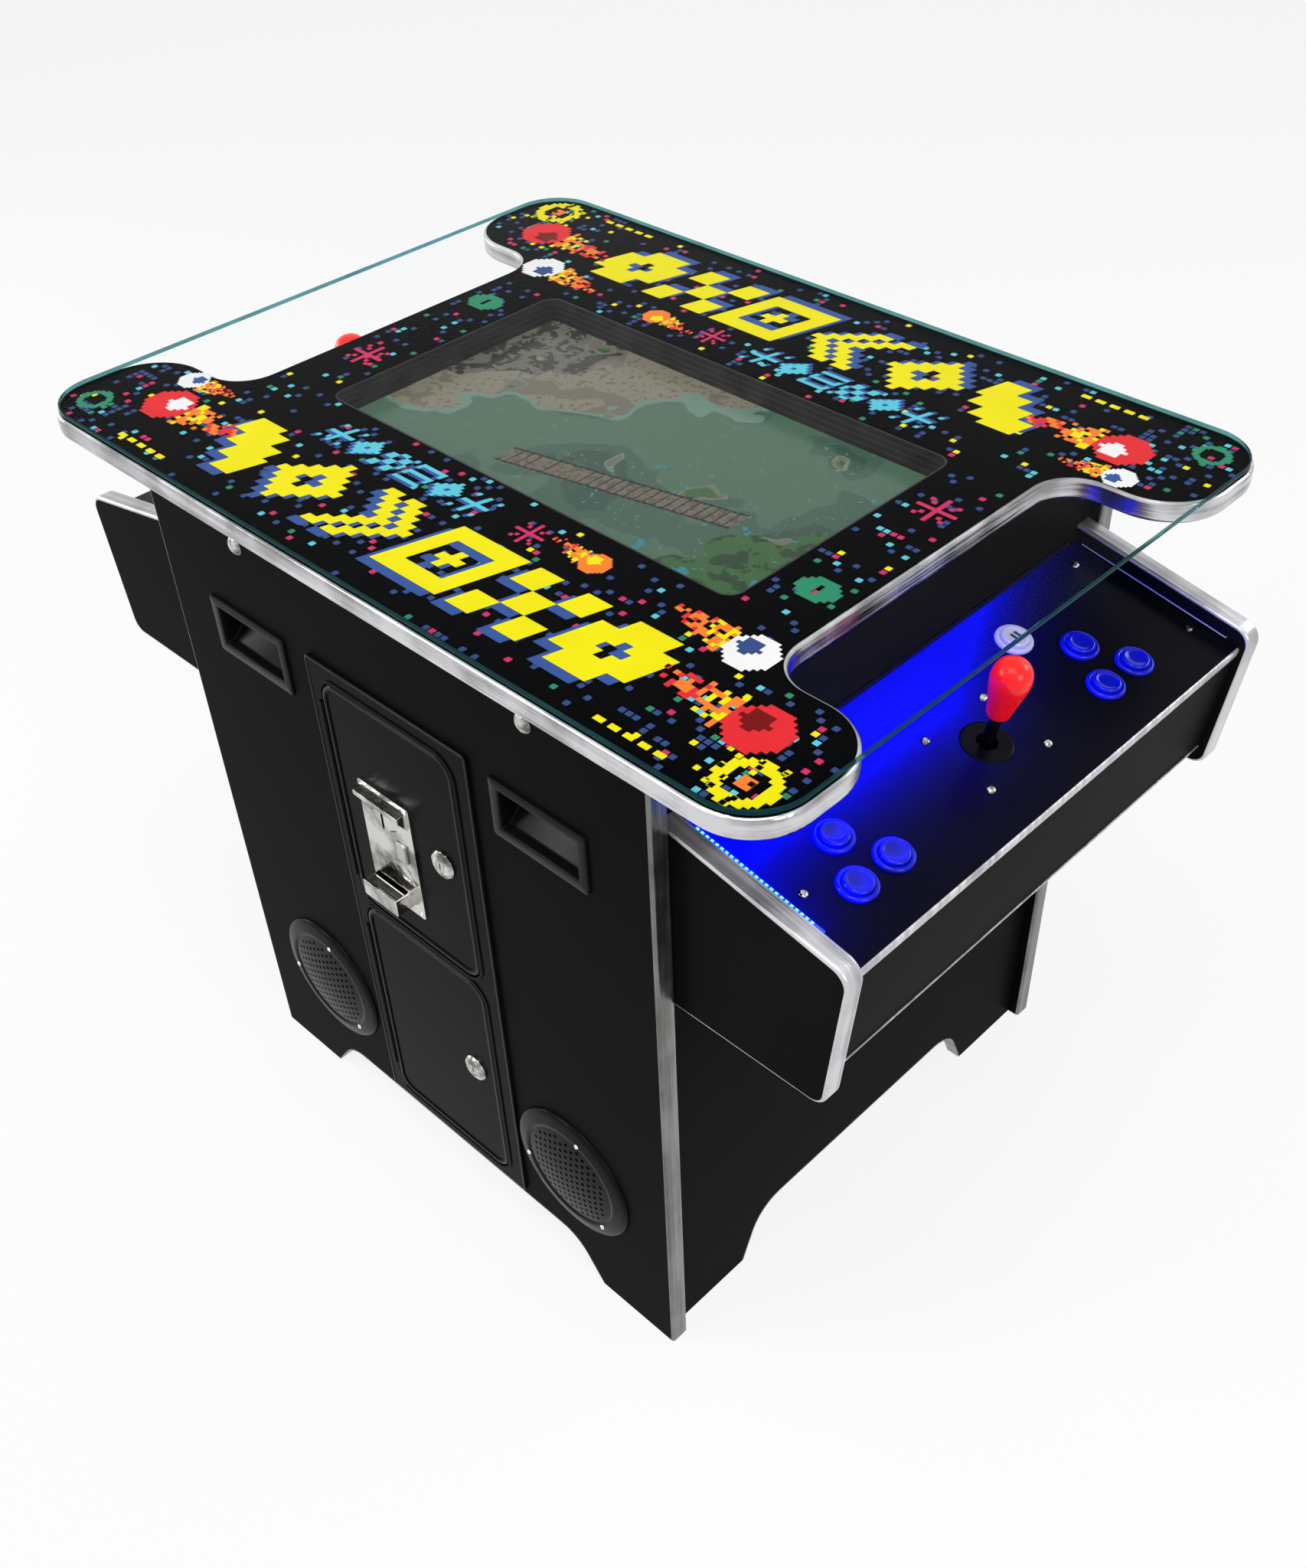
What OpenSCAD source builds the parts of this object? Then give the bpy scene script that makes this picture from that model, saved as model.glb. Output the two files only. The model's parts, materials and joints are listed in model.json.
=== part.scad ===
// Cocktail-table arcade cabinet for two players who sit face to face.
// X runs from player to player, -Y is the coin-door side, Z = 0 is the floor.

/* [Tabletop] */
// Height of the glass surface above the floor
top_height = 737; // [720:1:780]
// Radius of the tabletop's outer corners
top_corner_r = 48; // [30:1:60]
// Thickness of the glass
glass_t = 5; // [4:0.5:8]
// Thickness of the printed sheet under the glass
sheet_t = 0.4; // [0.2:0.1:1]
// Thickness of the tabletop board
board_t = 18; // [15:1:22]
// How far each hand notch reaches in from the end of the table
notch_depth = 114; // [100:1:120]
// Half the width of a hand notch
notch_half = 182; // [160:1:200]
// Radius of a notch's inner corners
notch_in_r = 40; // [20:1:60]
// Radius where a notch flares into the end of the table
notch_out_r = 53; // [30:1:60]
// How far the bright edge trim bulges out of a board
trim_bulge = 3; // [2:0.5:4]

/* [Screen] */
// Length of the window in the tabletop
win_len = 476; // [440:1:490]
// Depth of the window
win_depth = 268; // [240:1:280]
// Radius of the window's corners
win_r = 15; // [6:1:25]
// How far the screen lies below the glass surface
screen_drop = 24.2; // [24.2:0.1:28]
// Steps moulded into the window surround
bezel_steps = 4; // [3:1:6]
// Width of one step of the surround
bezel_tread = 2; // [1.5:0.5:3]
// How far the screen reaches past the window on each side
screen_lap = 10; // [8:1:14]
// Thickness of the screen glass and panel
screen_t = 8; // [6:1:12]
// Depth of the monitor's case behind the screen
monitor_t = 38; // [30:1:50]
// Height of the electronics bulge on the monitor's back
monitor_bulge = 20; // [12:1:30]
// Width of a steel monitor strap
strap_w = 30; // [20:1:40]
// Thickness of the steel straps and angles
steel_t = 3; // [2:0.5:4]

/* [Cabinet body] */
// Distance from the window to the ends of the body, with their trim
body_end_room = 65.5; // [60:0.5:90]
// Distance from the window to the faces of the long panels
body_side_room = 154.5; // [145:0.5:190]
// How far the table overhangs the body at each player's end
end_overhang = 118.5; // [110:0.5:130]
// How far the table overhangs the long panels
side_overhang = 23; // [18:1:30]
// Thickness of the long side panels
panel_t = 19; // [16:1:22]
// Thickness of the end panels
end_t = 15; // [12:1:18]
// How far the end panels lie in from the ends of the long panels
end_recess = 9.5; // [6:0.5:14]
// Height of the cut-out between the feet of a long panel
skirt_h = 48; // [35:1:56]
// Half the distance between the feet of a long panel, at the floor
skirt_half = 211; // [190:1:230]
// Height of the cut-out between the feet of an end panel
end_skirt_h = 62; // [45:1:70]
// Half the distance between the feet of an end panel, at the floor
end_skirt_half = 178; // [150:1:200]
// Thickness of the base board
base_t = 15; // [12:1:18]
// Side of a square corner batten
batten = 22; // [18:1:28]
// Thickness of the trim under the skirt edges
skirt_trim_t = 1.6; // [1:0.2:2.4]

/* [Handles and bolts] */
// Distance of each handle's centre from the middle of a long panel
handle_x = 184; // [175:1:195]
// How far the handles' centres lie below the glass surface
handle_drop = 161; // [140:1:180]
// Width of a handle's flange
handle_w = 107; // [100:1:115]
// Height of a handle's flange
handle_h = 59; // [54:1:64]
// Width of the flange round the grip opening
handle_rim = 10; // [8:1:12]
// How far a handle reaches behind the panel's face
handle_deep = 32; // [28:1:40]
// Wall thickness of a handle
handle_wall = 2.5; // [2:0.5:3.5]
// Distance of each dome bolt from the middle of a long panel
bolt_x = 177; // [165:1:190]
// How far the dome bolts lie below the underside of the tabletop board
bolt_drop = 35.6; // [30:0.2:40]
// Radius of the dome bolts' shanks
bolt_r = 3; // [2.5:0.5:4]
// Radius of the dome heads
dome_r = 9; // [8:0.5:11]

/* [Speakers] */
// Distance of each speaker from the middle of the coin-side panel
speaker_x = 181; // [176:1:186]
// Height of the speakers' centres
speaker_z = 154; // [142:1:156]
// Radius of a speaker bezel
speaker_r = 72; // [68:1:76]
// Radius of the perforated dome
dome_mesh_r = 54; // [46:1:58]
// Distance between rings of sound holes
mesh_pitch = 10.8; // [10:0.2:12]
// Radius of a sound hole
mesh_hole_r = 2.6; // [2:0.1:3]
// Radius of the loudspeaker's own frame
driver_r = 62; // [58:1:64]
// Depth of the loudspeaker behind the panel
driver_deep = 45; // [38:1:60]

/* [Control boxes] */
// How far below the glass the control panel's front edge lies
panel_drop = 148; // [140:1:156]
// How far the control panel's front edge stands out of the body's ends
panel_reach = 152.5; // [146:0.5:160]
// Slope of the control panel, falling towards the player
panel_slope = 11.4; // [8:0.2:14]
// Thickness of the control panel
control_t = 10; // [9:0.5:12]
// Thickness of the fascia and the floor of a control box
box_board_t = 12; // [10:1:14]
// Height of the fascia from its bottom edge to the control panel
fascia_h = 112; // [106:1:120]
// How far the fascia leans out over its height
fascia_lean = 14; // [10:1:18]
// Thickness of a control box's side boards
box_side_t = 18; // [15:1:20]
// How far the side boards stand above the control panel
side_rise = 14.5; // [12:0.5:18]
// How far the side boards hang below the fascia
side_hang = 17; // [14:1:22]
// How far the side boards stand out in front of the fascia
side_lead = 6; // [4:1:9]
// Width of a light strip
led_w = 5; // [4:1:8]
// Thickness of a light strip
led_t = 2; // [1.5:0.5:3]

/* [Buttons] */
// Radius of a button's rim
rim_r = 16.5; // [15.5:0.5:18]
// Height of a button's rim above the panel
rim_h = 3.6; // [3:0.2:4.4]
// Radius of the button holes in the panel
button_hole_r = 14.3; // [13.9:0.1:14.6]
// Radius of the plunger
plunger_r = 12; // [11.4:0.1:12.3]
// Running clearance of plungers, plugs and pivots in their bores
running = 0.05; // [0.03:0.01:0.08]
// Travel of a button
button_travel = 3; // [2:0.2:3.4]

/* [Joysticks] */
// Distance of each joystick behind the control panel's front edge
stick_back = 72; // [68:1:76]
// Radius of the joystick's shaft
shaft_r = 5; // [4:0.5:5.5]
// Radius of the bat grip at its widest
bat_r = 16.7; // [14:0.1:18]
// Length of the bat grip
bat_len = 61; // [52:1:70]
// Height of the bat's foot above the control panel
bat_base = 27; // [24:1:34]
// How far the joystick's pivot lies below the panel's surface
pivot_depth = 16; // [15.5:0.1:17]
// Radius of the dust washer
washer_r = 22; // [20:1:25]
// Largest tilt of a joystick
tilt_max = 8; // [5:1:9]

/* [Coin door] */
// Left edge of the coin-door frame from the middle of the panel
frame_left = -98; // [-100:1:-95]
// Width of the coin-door frame
frame_w = 204; // [202:1:208]
// Height of the frame's bottom edge above the floor
frame_z = 56; // [54:1:60]
// Height of the frame
frame_h = 553; // [550:1:556]
// Thickness of the frame plate
frame_t = 3; // [2.5:0.5:4]
// Width of both doors
door_w = 167; // [164:1:168]
// Left edge of both doors from the middle of the panel
door_left = -82; // [-83:1:-80]
// Height of the upper door
upper_door_h = 250; // [246:1:251]
// Height of the lower door
lower_door_h = 263; // [258:1:264]
// Strip of the frame between the doors
door_gap = 10; // [9:0.5:12]
// Corner radius of the doors
door_r = 20; // [14:1:24]
// Thickness of the door plates
door_t = 2.2; // [1.6:0.2:2.6]
// Gap round the doors
door_play = 1.5; // [1:0.1:2]
// Length of a piano hinge
hinge_len = 200; // [180:10:205]
// Knuckles in each piano hinge, an even number
knuckles = 10; // [6:2:14]
// Outer radius of the hinge knuckles
knuckle_r = 2.6; // [2.3:0.1:2.8]
// Radius of the hinge pins
hinge_pin_r = 1.2; // [1:0.1:1.4]
// Distance of the locks from the right edge of a door
lock_inset = 29; // [26:1:32]
// Radius of a lock's barrel
lock_r = 9.5; // [8.5:0.5:10]
// Radius of a lock's turning plug
plug_r = 6; // [5:0.5:7]
// Length of a lock's cam
cam_len = 35; // [33:1:37]

/* [Coin mechanism] */
// Width of the coin plate
plate_w = 68; // [64:1:72]
// Height of the coin plate
plate_h = 128; // [126:1:134]
// Thickness of the coin plate
plate_t = 2.5; // [2:0.5:3]
// Centre of the coin plate from the left edge of the door
plate_x = 66; // [62:1:70]
// Height of the coin plate's centre above the bottom of the upper door
plate_z = 98; // [92:1:104]
// Inner width of the return cup
cup_w = 42; // [36:1:44]
// Height of the return cup
cup_h = 18; // [16:1:24]
// How far the return cup stands out of the coin plate
cup_out = 15; // [13:1:18]

/* [Hidden] */
$fn = 48;

body_hx = win_len / 2 + body_end_room;               // ends of the long panels with their trim
body_hy = win_depth / 2 + body_side_room;            // outer faces of the long panels
hx = body_hx + end_overhang;                         // half the glass, player to player
hy = body_hy + side_overhang;                        // and across
top_len = 2 * hx;
top_depth = 2 * hy;
under_z = top_height - glass_t - sheet_t - board_t;  // underside of the table
panel_hx = body_hx - trim_bulge;                     // ends of the long boards
inner_hy = body_hy - panel_t;                        // inner faces of the long panels
end_x = panel_hx - end_recess;                       // outer faces of the end panels
bolt_z = under_z - bolt_drop;
handle_z = top_height - handle_drop;
skirt_r = 42;                                        // rounding where a skirt meets a foot
skirt_run = 34;                                      // how far the skirt of a long panel leans over a foot
end_skirt_run = 26;

lcd_z = top_height - screen_drop;                    // surface of the screen
case_hx = win_len / 2 + screen_lap + 6;              // half length and depth of the monitor's case
case_hy = win_depth / 2 + screen_lap + 6;
case_z = lcd_z - screen_t - monitor_t;
strap_x = case_hx - 70;
bulge_len = 300;                                     // electronics bulge on the monitor's back
bulge_depth = 150;
slot_pitch = 20;                                     // its cooling slots

vent_z = top_height - 307;                           // slots in the far panel
vent_w = 6;
vent_h = 90;
vent_pitch = 15;
inlet_x = 190;                                       // mains inlet in the far panel
inlet_z = 150;
inlet_w = 47;
inlet_h = 27;
wire_w = 360;                                        // ways for the wiring in the end panels
wire_h = 64;
wire_up = 55;                                        // above the floor of the control box

psu_size = [150, 98, 42];
psu_at = [-170, inner_hy - 149.5, end_skirt_h + base_t];
pcb_size = [150, 120, 1.6];
pcb_at = [20, inner_hy - 159.5, end_skirt_h + base_t];
pcb_post = 10;
cash_size = [140, 150, 110];
cash_wall = 2;
cash_gap = 7.5;                                      // behind the coin-side panel

cp_x = body_hx + panel_reach;                        // top front edge of the control panel
cp_z = top_height - panel_drop;
cp_len = (cp_x - end_x) / cos(panel_slope);
side_in = inner_hy - box_side_t;                     // inner faces of the control box's side boards
fascia_z = cp_z - fascia_h;
box_floor_z = fascia_z + 3;

// Seat of every button: distance behind the panel's front edge, and place across the panel
BUTTONS = [[48, -190.5], [88, -170], [48, -149.5], [47.5, 122.5], [88, 143.5], [47.5, 164.5], [127.5, 105]];
START = 6;                                           // the pale one
// Screws that hold the panel down: distance behind its front edge, and place across it
PANEL_SCREWS = [[68, -226], [40, 238], [150, -226], [150, 226]];
stick_y = -5;
stick_bolt_x = 32;                                   // joystick bolts, from the shaft
stick_bolt_y = 37;
stick_bolt_r = 2;
stick_hole_r = 14;
tube_len = 24;                                       // button body below the panel's surface
stem_end = tube_len - button_travel - 0.8;
washer_t = 1.2;
tilt_both = acos(cos(tilt_max) * cos(tilt_max));     // tilted both ways at once
washer_hole_r = shaft_r / cos(tilt_both) + (pivot_depth + washer_t) * tan(tilt_both) + 0.4;
stick_plate_t = 2;
ring_h = 6;                                          // gimbal ring
ring_in = shaft_r + 2.5;
ring_out = ring_in + 4;
trunnion_r = 2;
stick_pin_r = 1.8;
lug_in = ring_out + 0.7;
lug_out = lug_in + 8.5;
stick_wall = 5;
stick_low = 40;                                      // bottom of the shaft, below the panel's surface

mid_door_z = frame_z + 12 + lower_door_h;            // top of the lower door
lower_door_z = frame_z + 12;
upper_door_z = mid_door_z + door_gap;
hinge_x = door_left - 3.2;                           // axis of both piano hinges
hinge_d = frame_t - 0.4;                             // and how far it stands out of the panel's face
door_back = frame_t - door_t;                        // back face of the door plates
lock_x = door_left + door_w - lock_inset;
upper_lock_z = upper_door_z + upper_door_h / 2;
lower_lock_z = lower_door_z + 136;
lock_deep = 16;                                      // barrel behind the panel's face
sleeve_inset = 8;                                    // frame's sleeve in from its rim
sleeve_t = 2;
sleeve_deep = 15;
strike = 10;                                         // reach of a strike lip from the sleeve's outer face
coin_x = door_left + plate_x;
coin_z = upper_door_z + plate_z;
cup_x = coin_x - 9;
cup_z = coin_z - plate_h / 2 + cup_h / 2 + 2;
cup_wall = 2.5;
flap_d = frame_t + plate_t + 2.6;                    // axis of the return flap, out from the panel's face
flap_z = cup_z + cup_h / 2 - 2.6;
flap_pin_r = 1.2;
reject_x = coin_x + 17;
reject_z = coin_z + 8;
reject_w = 13;
reject_h = 20;
vent_slots = 9;

PLAYERS = [1, 2];
function button_name(player, i) =
    str("player_", player, i == START ? "_start_button" : str("_button_", i + 1));

// ---- shapes and places that several sub-parts share

module rounded_rect(w, h, r) {
    square([w - 2 * r, h], center = true);
    square([w, h - 2 * r], center = true);
    for (x = [-1, 1], y = [-1, 1]) translate([x * (w / 2 - r), y * (h / 2 - r)]) circle(r);
}

module rounded_ring(w, h, r, wide) {
    difference() {
        rounded_rect(w, h, r);
        rounded_rect(w - 2 * wide, h - 2 * wide, r - wide);
    }
}

// Points of the arc that rounds the corner at q, between its neighbours p and s
function corner_arc(p, q, s, r, steps = 6) =
    let (a = (p - q) / norm(p - q), b = (s - q) / norm(s - q), half = acos(a * b) / 2,
         c = q + (a + b) / norm(a + b) * r / sin(half),
         t0 = q + a * r / tan(half) - c, t1 = q + b * r / tan(half) - c,
         a0 = atan2(t0.y, t0.x), turn = (atan2(t1.y, t1.x) - a0 + 540) % 360 - 180)
    [for (i = [0 : steps]) c + r * [cos(a0 + turn * i / steps), sin(a0 + turn * i / steps)]];

// A polygon's points with the given radius at each corner
function rounded_points(pts, radii) =
    let (n = len(pts))
    [for (i = [0 : n - 1]) each
        radii[i] > 0 ? corner_arc(pts[(i + n - 1) % n], pts[i], pts[(i + 1) % n], radii[i]) : [pts[i]]];

// Local X, Y and Z become X, up and outwards on the coin side's face
module on_coin_side() {
    translate([0, -body_hy, 0]) rotate([90, 0, 0]) children();
}

module on_far_side() {
    rotate([0, 0, 180]) on_coin_side() children();
}

module on_long_sides() {
    on_coin_side() children();
    on_far_side() children();
}

// Player 1 sits at +X. Player 2's end is the same, turned half round.
module at_player(p) {
    rotate([0, 0, p == 1 ? 0 : 180]) children();
}

module at_both_players() {
    for (p = PLAYERS) at_player(p) children();
}

// Origin at the control panel's front edge, X down the slope and Z square to the panel
module on_control_panel() {
    translate([cp_x, 0, cp_z]) rotate([0, panel_slope, 0]) children();
}

module at_button(i) {
    on_control_panel() translate([-BUTTONS[i].x, BUTTONS[i].y, 0]) children();
}

module at_stick() {
    on_control_panel() translate([-stick_back, stick_y, 0]) children();
}

// Extrudes an outline drawn in X and Z along Y, centred
module across(w) {
    translate([0, w / 2, 0]) rotate([90, 0, 0]) linear_extrude(w) children();
}

// ---- bright edge trim: as high as the board's edge, with rounded corners

module trim_profile(h, bulge = trim_bulge) {
    intersection() {
        union() {
            translate([0, bulge]) square([bulge, h - 2 * bulge]);
            for (z = [bulge, h - bulge]) translate([0, z]) circle(bulge);
        }
        square([bulge, h]);
    }
}

module trim_run(len, h, bulge = trim_bulge) {
    translate([0, len, 0]) rotate([90, 0, 0]) linear_extrude(len) trim_profile(h, bulge);
}

module trim_bend(r, angle, h) {
    rotate_extrude(angle = angle) translate([r, 0]) trim_profile(h);
}

module trim_inner_bend(r, angle, h) {
    rotate_extrude(angle = angle) translate([r, 0]) mirror([1, 0]) trim_profile(h);
}

// ---- tabletop

module notch_outline() {
    nx = hx - notch_depth;
    difference() {
        union() {
            translate([nx, -notch_half]) square([notch_depth + 1, 2 * notch_half]);
            for (m = [0, 1]) mirror([0, m]) difference() {
                translate([hx - notch_out_r, notch_half]) square([notch_out_r + 1, notch_out_r]);
                translate([hx - notch_out_r, notch_half + notch_out_r]) circle(notch_out_r, $fn = 96);
            }
        }
        for (m = [0, 1]) mirror([0, m]) difference() {
            translate([nx, notch_half - notch_in_r]) square(notch_in_r);
            translate([nx + notch_in_r, notch_half - notch_in_r]) circle(notch_in_r, $fn = 96);
        }
    }
}

module window_outline() {
    rounded_rect(win_len, win_depth, win_r);
}

module board_outline() {
    difference() {
        rounded_rect(top_len, top_depth, top_corner_r, $fn = 96);
        for (m = [0, 1]) mirror([m, 0]) notch_outline();
        window_outline();
    }
}

module glass_top() {
    color([0.55, 0.85, 0.8, 0.35])
        translate([0, 0, top_height - glass_t]) linear_extrude(glass_t)
            rounded_rect(top_len, top_depth, top_corner_r, $fn = 96);
}

module artwork_sheet() {
    color([0.06, 0.07, 0.14])
        translate([0, 0, under_z + board_t]) linear_extrude(sheet_t) board_outline();
}

module tabletop_board() {
    color([0.1, 0.1, 0.1])
        translate([0, 0, under_z]) linear_extrude(board_t) board_outline();
}

// A quarter of the trim's path: notch side, notch corners, end of the table, outer corner, long side
module trim_quarter() {
    nx = hx - notch_depth;
    translate([nx, 0, 0]) trim_run(notch_half - notch_in_r, board_t);
    translate([nx + notch_in_r, notch_half - notch_in_r, 0]) rotate(90)
        trim_inner_bend(notch_in_r, 90, board_t);
    translate([nx + notch_in_r, notch_half, 0]) rotate(-90)
        trim_run(notch_depth - notch_in_r - notch_out_r, board_t);
    translate([hx - notch_out_r, notch_half + notch_out_r, 0]) rotate(-90)
        trim_bend(notch_out_r, 90, board_t);
    translate([hx, notch_half + notch_out_r, 0])
        trim_run(hy - top_corner_r - notch_half - notch_out_r, board_t);
    translate([hx - top_corner_r, hy - top_corner_r, 0]) trim_bend(top_corner_r, 90, board_t);
    translate([hx - top_corner_r, hy, 0]) rotate(90) trim_run(hx - top_corner_r, board_t);
}

module tabletop_trim() {
    color([0.82, 0.83, 0.85])
        translate([0, 0, under_z])
            for (x = [0, 1], y = [0, 1]) mirror([x, 0, 0]) mirror([0, y, 0]) trim_quarter();
}

// ---- screen and monitor

// Stepped surround from the printed sheet down to the screen, each step further in
module screen_bezel() {
    step_h = (under_z + board_t - lcd_z) / bezel_steps;
    color([0.42, 0.43, 0.42])
        for (i = [0 : bezel_steps - 1])
            translate([0, 0, lcd_z + i * step_h]) linear_extrude(step_h)
                rounded_ring(win_len, win_depth, win_r, (bezel_steps - i) * bezel_tread);
}

module lcd_panel() {
    color([0.3, 0.42, 0.36])
        translate([0, 0, lcd_z - screen_t]) linear_extrude(screen_t)
            square([win_len + 2 * screen_lap, win_depth + 2 * screen_lap], center = true);
}

module monitor_case() {
    color([0.16, 0.16, 0.17]) difference() {
        union() {
            translate([0, 0, case_z]) linear_extrude(monitor_t)
                rounded_rect(2 * case_hx, 2 * case_hy, 6);
            translate([0, 0, case_z - monitor_bulge]) linear_extrude(monitor_bulge)
                rounded_rect(bulge_len, bulge_depth, 12);
        }
        for (x = [-6 : 6]) translate([x * slot_pitch, 0, case_z - monitor_bulge]) // cooling slots
            linear_extrude(3) rounded_rect(slot_pitch * 0.3, bulge_depth - 50, slot_pitch * 0.14);
    }
}

// Straps that carry the monitor, and angles that take the dome bolts
module steel_brackets() {
    top = under_z;
    color([0.62, 0.64, 0.66]) {
        for (x = [-1, 1]) translate([x * strap_x - strap_w / 2, 0, 0]) rotate([90, 0, 90])
            linear_extrude(strap_w) for (m = [0, 1]) mirror([m, 0]) {
                translate([0, case_z - steel_t]) square([case_hy + steel_t, steel_t]);
                translate([case_hy, case_z - steel_t]) square([steel_t, top - case_z + steel_t]);
                translate([case_hy, top - steel_t]) square([30, steel_t]);
            }
        for (m = [0, 1], x = [-1, 1]) mirror([0, m, 0]) translate([x * bolt_x, -inner_hy, 0])
            difference() {
                union() {
                    translate([-25, 0, bolt_z - 12]) cube([50, steel_t, top - bolt_z + 12]);
                    translate([-25, 0, top - steel_t]) cube([50, 40, steel_t]);
                }
                translate([0, -1, bolt_z]) rotate([-90, 0, 0]) cylinder(r = bolt_r + 0.2, h = steel_t + 2);
            }
    }
}

// Dome bolts of the straps, the joysticks' bolts and the control panels' own screws
module bolts_and_screws() {
    head_h = dome_r / 2;
    ball_r = (dome_r * dome_r + head_h * head_h) / (2 * head_h);
    nut_h = 5;
    grip = panel_t + steel_t;
    color([0.8, 0.81, 0.83]) on_long_sides() for (x = [-1, 1]) translate([x * bolt_x, bolt_z, 0]) {
        rotate_extrude() intersection() {
            translate([0, head_h - ball_r]) circle(ball_r, $fn = 180);
            square([dome_r, head_h]);
        }
        translate([0, 0, -grip - nut_h - 3]) cylinder(r = bolt_r, h = grip + nut_h + 3);
        translate([0, 0, -grip - nut_h]) difference() {
            cylinder(r = bolt_r * 1.9, h = nut_h, $fn = 6);
            translate([0, 0, -1]) cylinder(r = bolt_r + 0.1, h = nut_h + 2);
        }
    }
    color([0.8, 0.81, 0.83]) at_both_players() {
        at_stick() for (x = [-1, 1], y = [-1, 1])
            translate([x * stick_bolt_x, y * stick_bolt_y, 0]) panel_bolt(control_t + stick_plate_t);
        on_control_panel() for (s = PANEL_SCREWS) translate([-s.x, s.y, 0]) panel_bolt(control_t);
    }
}

// Pan-headed bolt through the control panel, with its nut g below the surface
module panel_bolt(g) {
    rotate_extrude($fn = 24) polygon([[0, 2], [2.2, 2], [3.4, 1.4], [4, 0], [stick_bolt_r, 0],
        [stick_bolt_r, -g - 6], [0, -g - 6]]);
    translate([0, 0, -g - 3.5]) difference() {
        cylinder(r = 4, h = 3.5, $fn = 6);
        translate([0, 0, -1]) cylinder(r = stick_bolt_r + 0.1, h = 6, $fn = 24);
    }
}

// ---- cabinet body

// The arch between two feet, as points, shrunk by g
function skirt_points(half, run, h, g = 0) =
    rounded_points([[-half + g, -1], [-half + g, 0], [-half + run + g / 2, h - g],
                    [half - run - g / 2, h - g], [half - g, 0], [half - g, -1]],
                   [0, 0, skirt_r, skirt_r, 0, 0]);

module long_panel_outline() {
    difference() {
        translate([-panel_hx, 0]) square([2 * panel_hx, under_z]);
        polygon(skirt_points(skirt_half, skirt_run, skirt_h));
        for (x = [-1, 1]) {
            translate([x * bolt_x, bolt_z]) circle(bolt_r + 0.2);
            translate([x * handle_x, handle_z])
                square([handle_w - 2 * handle_rim + 2 * handle_wall + 0.6,
                        handle_h - 2 * handle_rim + 2 * handle_wall + 0.6], center = true);
        }
    }
}

module frame_rect(inset, r) {
    translate([frame_left + frame_w / 2, frame_z + frame_h / 2])
        rounded_rect(frame_w - 2 * inset, frame_h - 2 * inset, r);
}

module coin_side_panel() {
    color([0.13, 0.13, 0.13]) on_coin_side() translate([0, 0, -panel_t]) linear_extrude(panel_t)
        difference() {
            long_panel_outline();
            frame_rect(sleeve_inset - 0.3, 2.3);
            for (x = [-1, 1]) translate([x * speaker_x, speaker_z]) circle(dome_mesh_r, $fn = 96);
        }
}

module far_side_panel() {
    color([0.13, 0.13, 0.13]) on_far_side() translate([0, 0, -panel_t]) linear_extrude(panel_t)
        difference() {
            long_panel_outline();
            for (i = [0 : vent_slots - 1]) // cooling slots behind the electronics
                translate([(i - (vent_slots - 1) / 2) * vent_pitch, vent_z])
                    rounded_rect(vent_w, vent_h, vent_w / 2 - 0.01);
            translate([-inlet_x, inlet_z]) square([inlet_w + 0.4, inlet_h + 0.4], center = true);
        }
}

module end_panels() {
    color([0.11, 0.11, 0.11]) at_both_players()
        translate([end_x, 0, 0]) rotate([90, 0, -90]) linear_extrude(end_t) difference() {
            translate([-inner_hy, 0]) square([2 * inner_hy, under_z]);
            polygon(skirt_points(end_skirt_half, end_skirt_run, end_skirt_h));
            translate([0, box_floor_z + wire_up]) rounded_rect(wire_w, wire_h, 8);
        }
}

module inner_timber() {
    room = end_x - end_t;
    color([0.72, 0.58, 0.4]) {
        translate([-room, -inner_hy, end_skirt_h]) cube([2 * room, 2 * inner_hy, base_t]);
        for (x = [0, 1], y = [0, 1]) mirror([x, 0, 0]) mirror([0, y, 0])
            translate([room - batten, inner_hy - batten, end_skirt_h + base_t])
                cube([batten, batten, under_z - end_skirt_h - base_t]);
    }
}

module skirt_trim(half, run, h, t) {
    linear_extrude(t) difference() {
        polygon(skirt_points(half, run, h));
        polygon(skirt_points(half, run, h, skirt_trim_t));
        translate([-half - 1, -3]) square([2 * half + 2, 3]);
    }
}

module panel_trims() {
    color([0.7, 0.71, 0.72]) {
        for (x = [0, 1], y = [0, 1]) mirror([x, 0, 0]) mirror([0, y, 0])
            translate([panel_hx, -body_hy, 0]) linear_extrude(under_z) trim_profile(panel_t);
        on_long_sides() translate([0, 0, -panel_t]) skirt_trim(skirt_half, skirt_run, skirt_h, panel_t);
        at_both_players() translate([end_x, 0, 0]) rotate([90, 0, -90])
            skirt_trim(end_skirt_half, end_skirt_run, end_skirt_h, end_t);
    }
}

// Recessed grip: a flange and a scoop whose floor climbs towards the back
module handle_cup() {
    w = handle_w - 2 * handle_rim;
    h = handle_h - 2 * handle_rim;
    module scoop(grow, front) {
        translate([-w / 2 - grow, 0, 0]) rotate([90, 0, 90]) linear_extrude(w + 2 * grow)
            polygon([[-h / 2 - grow, front], [h / 2 + grow, front],
                     [h / 2 + grow, -handle_deep + handle_wall - grow],
                     [h / 10 - grow, -handle_deep + handle_wall - grow], [-h / 2 - grow, -6]]);
    }
    difference() {
        union() {
            linear_extrude(2) rounded_rect(handle_w, handle_h, 3);
            translate([0, 0, 2]) linear_extrude(1) rounded_rect(handle_w - 2, handle_h - 2, 2);
            scoop(handle_wall, 0);
        }
        scoop(0, 4);
    }
}

module handle_cups() {
    color([0.16, 0.16, 0.17]) on_long_sides()
        for (x = [-1, 1]) translate([x * handle_x, handle_z, 0]) handle_cup();
}

// ---- speakers

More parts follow.
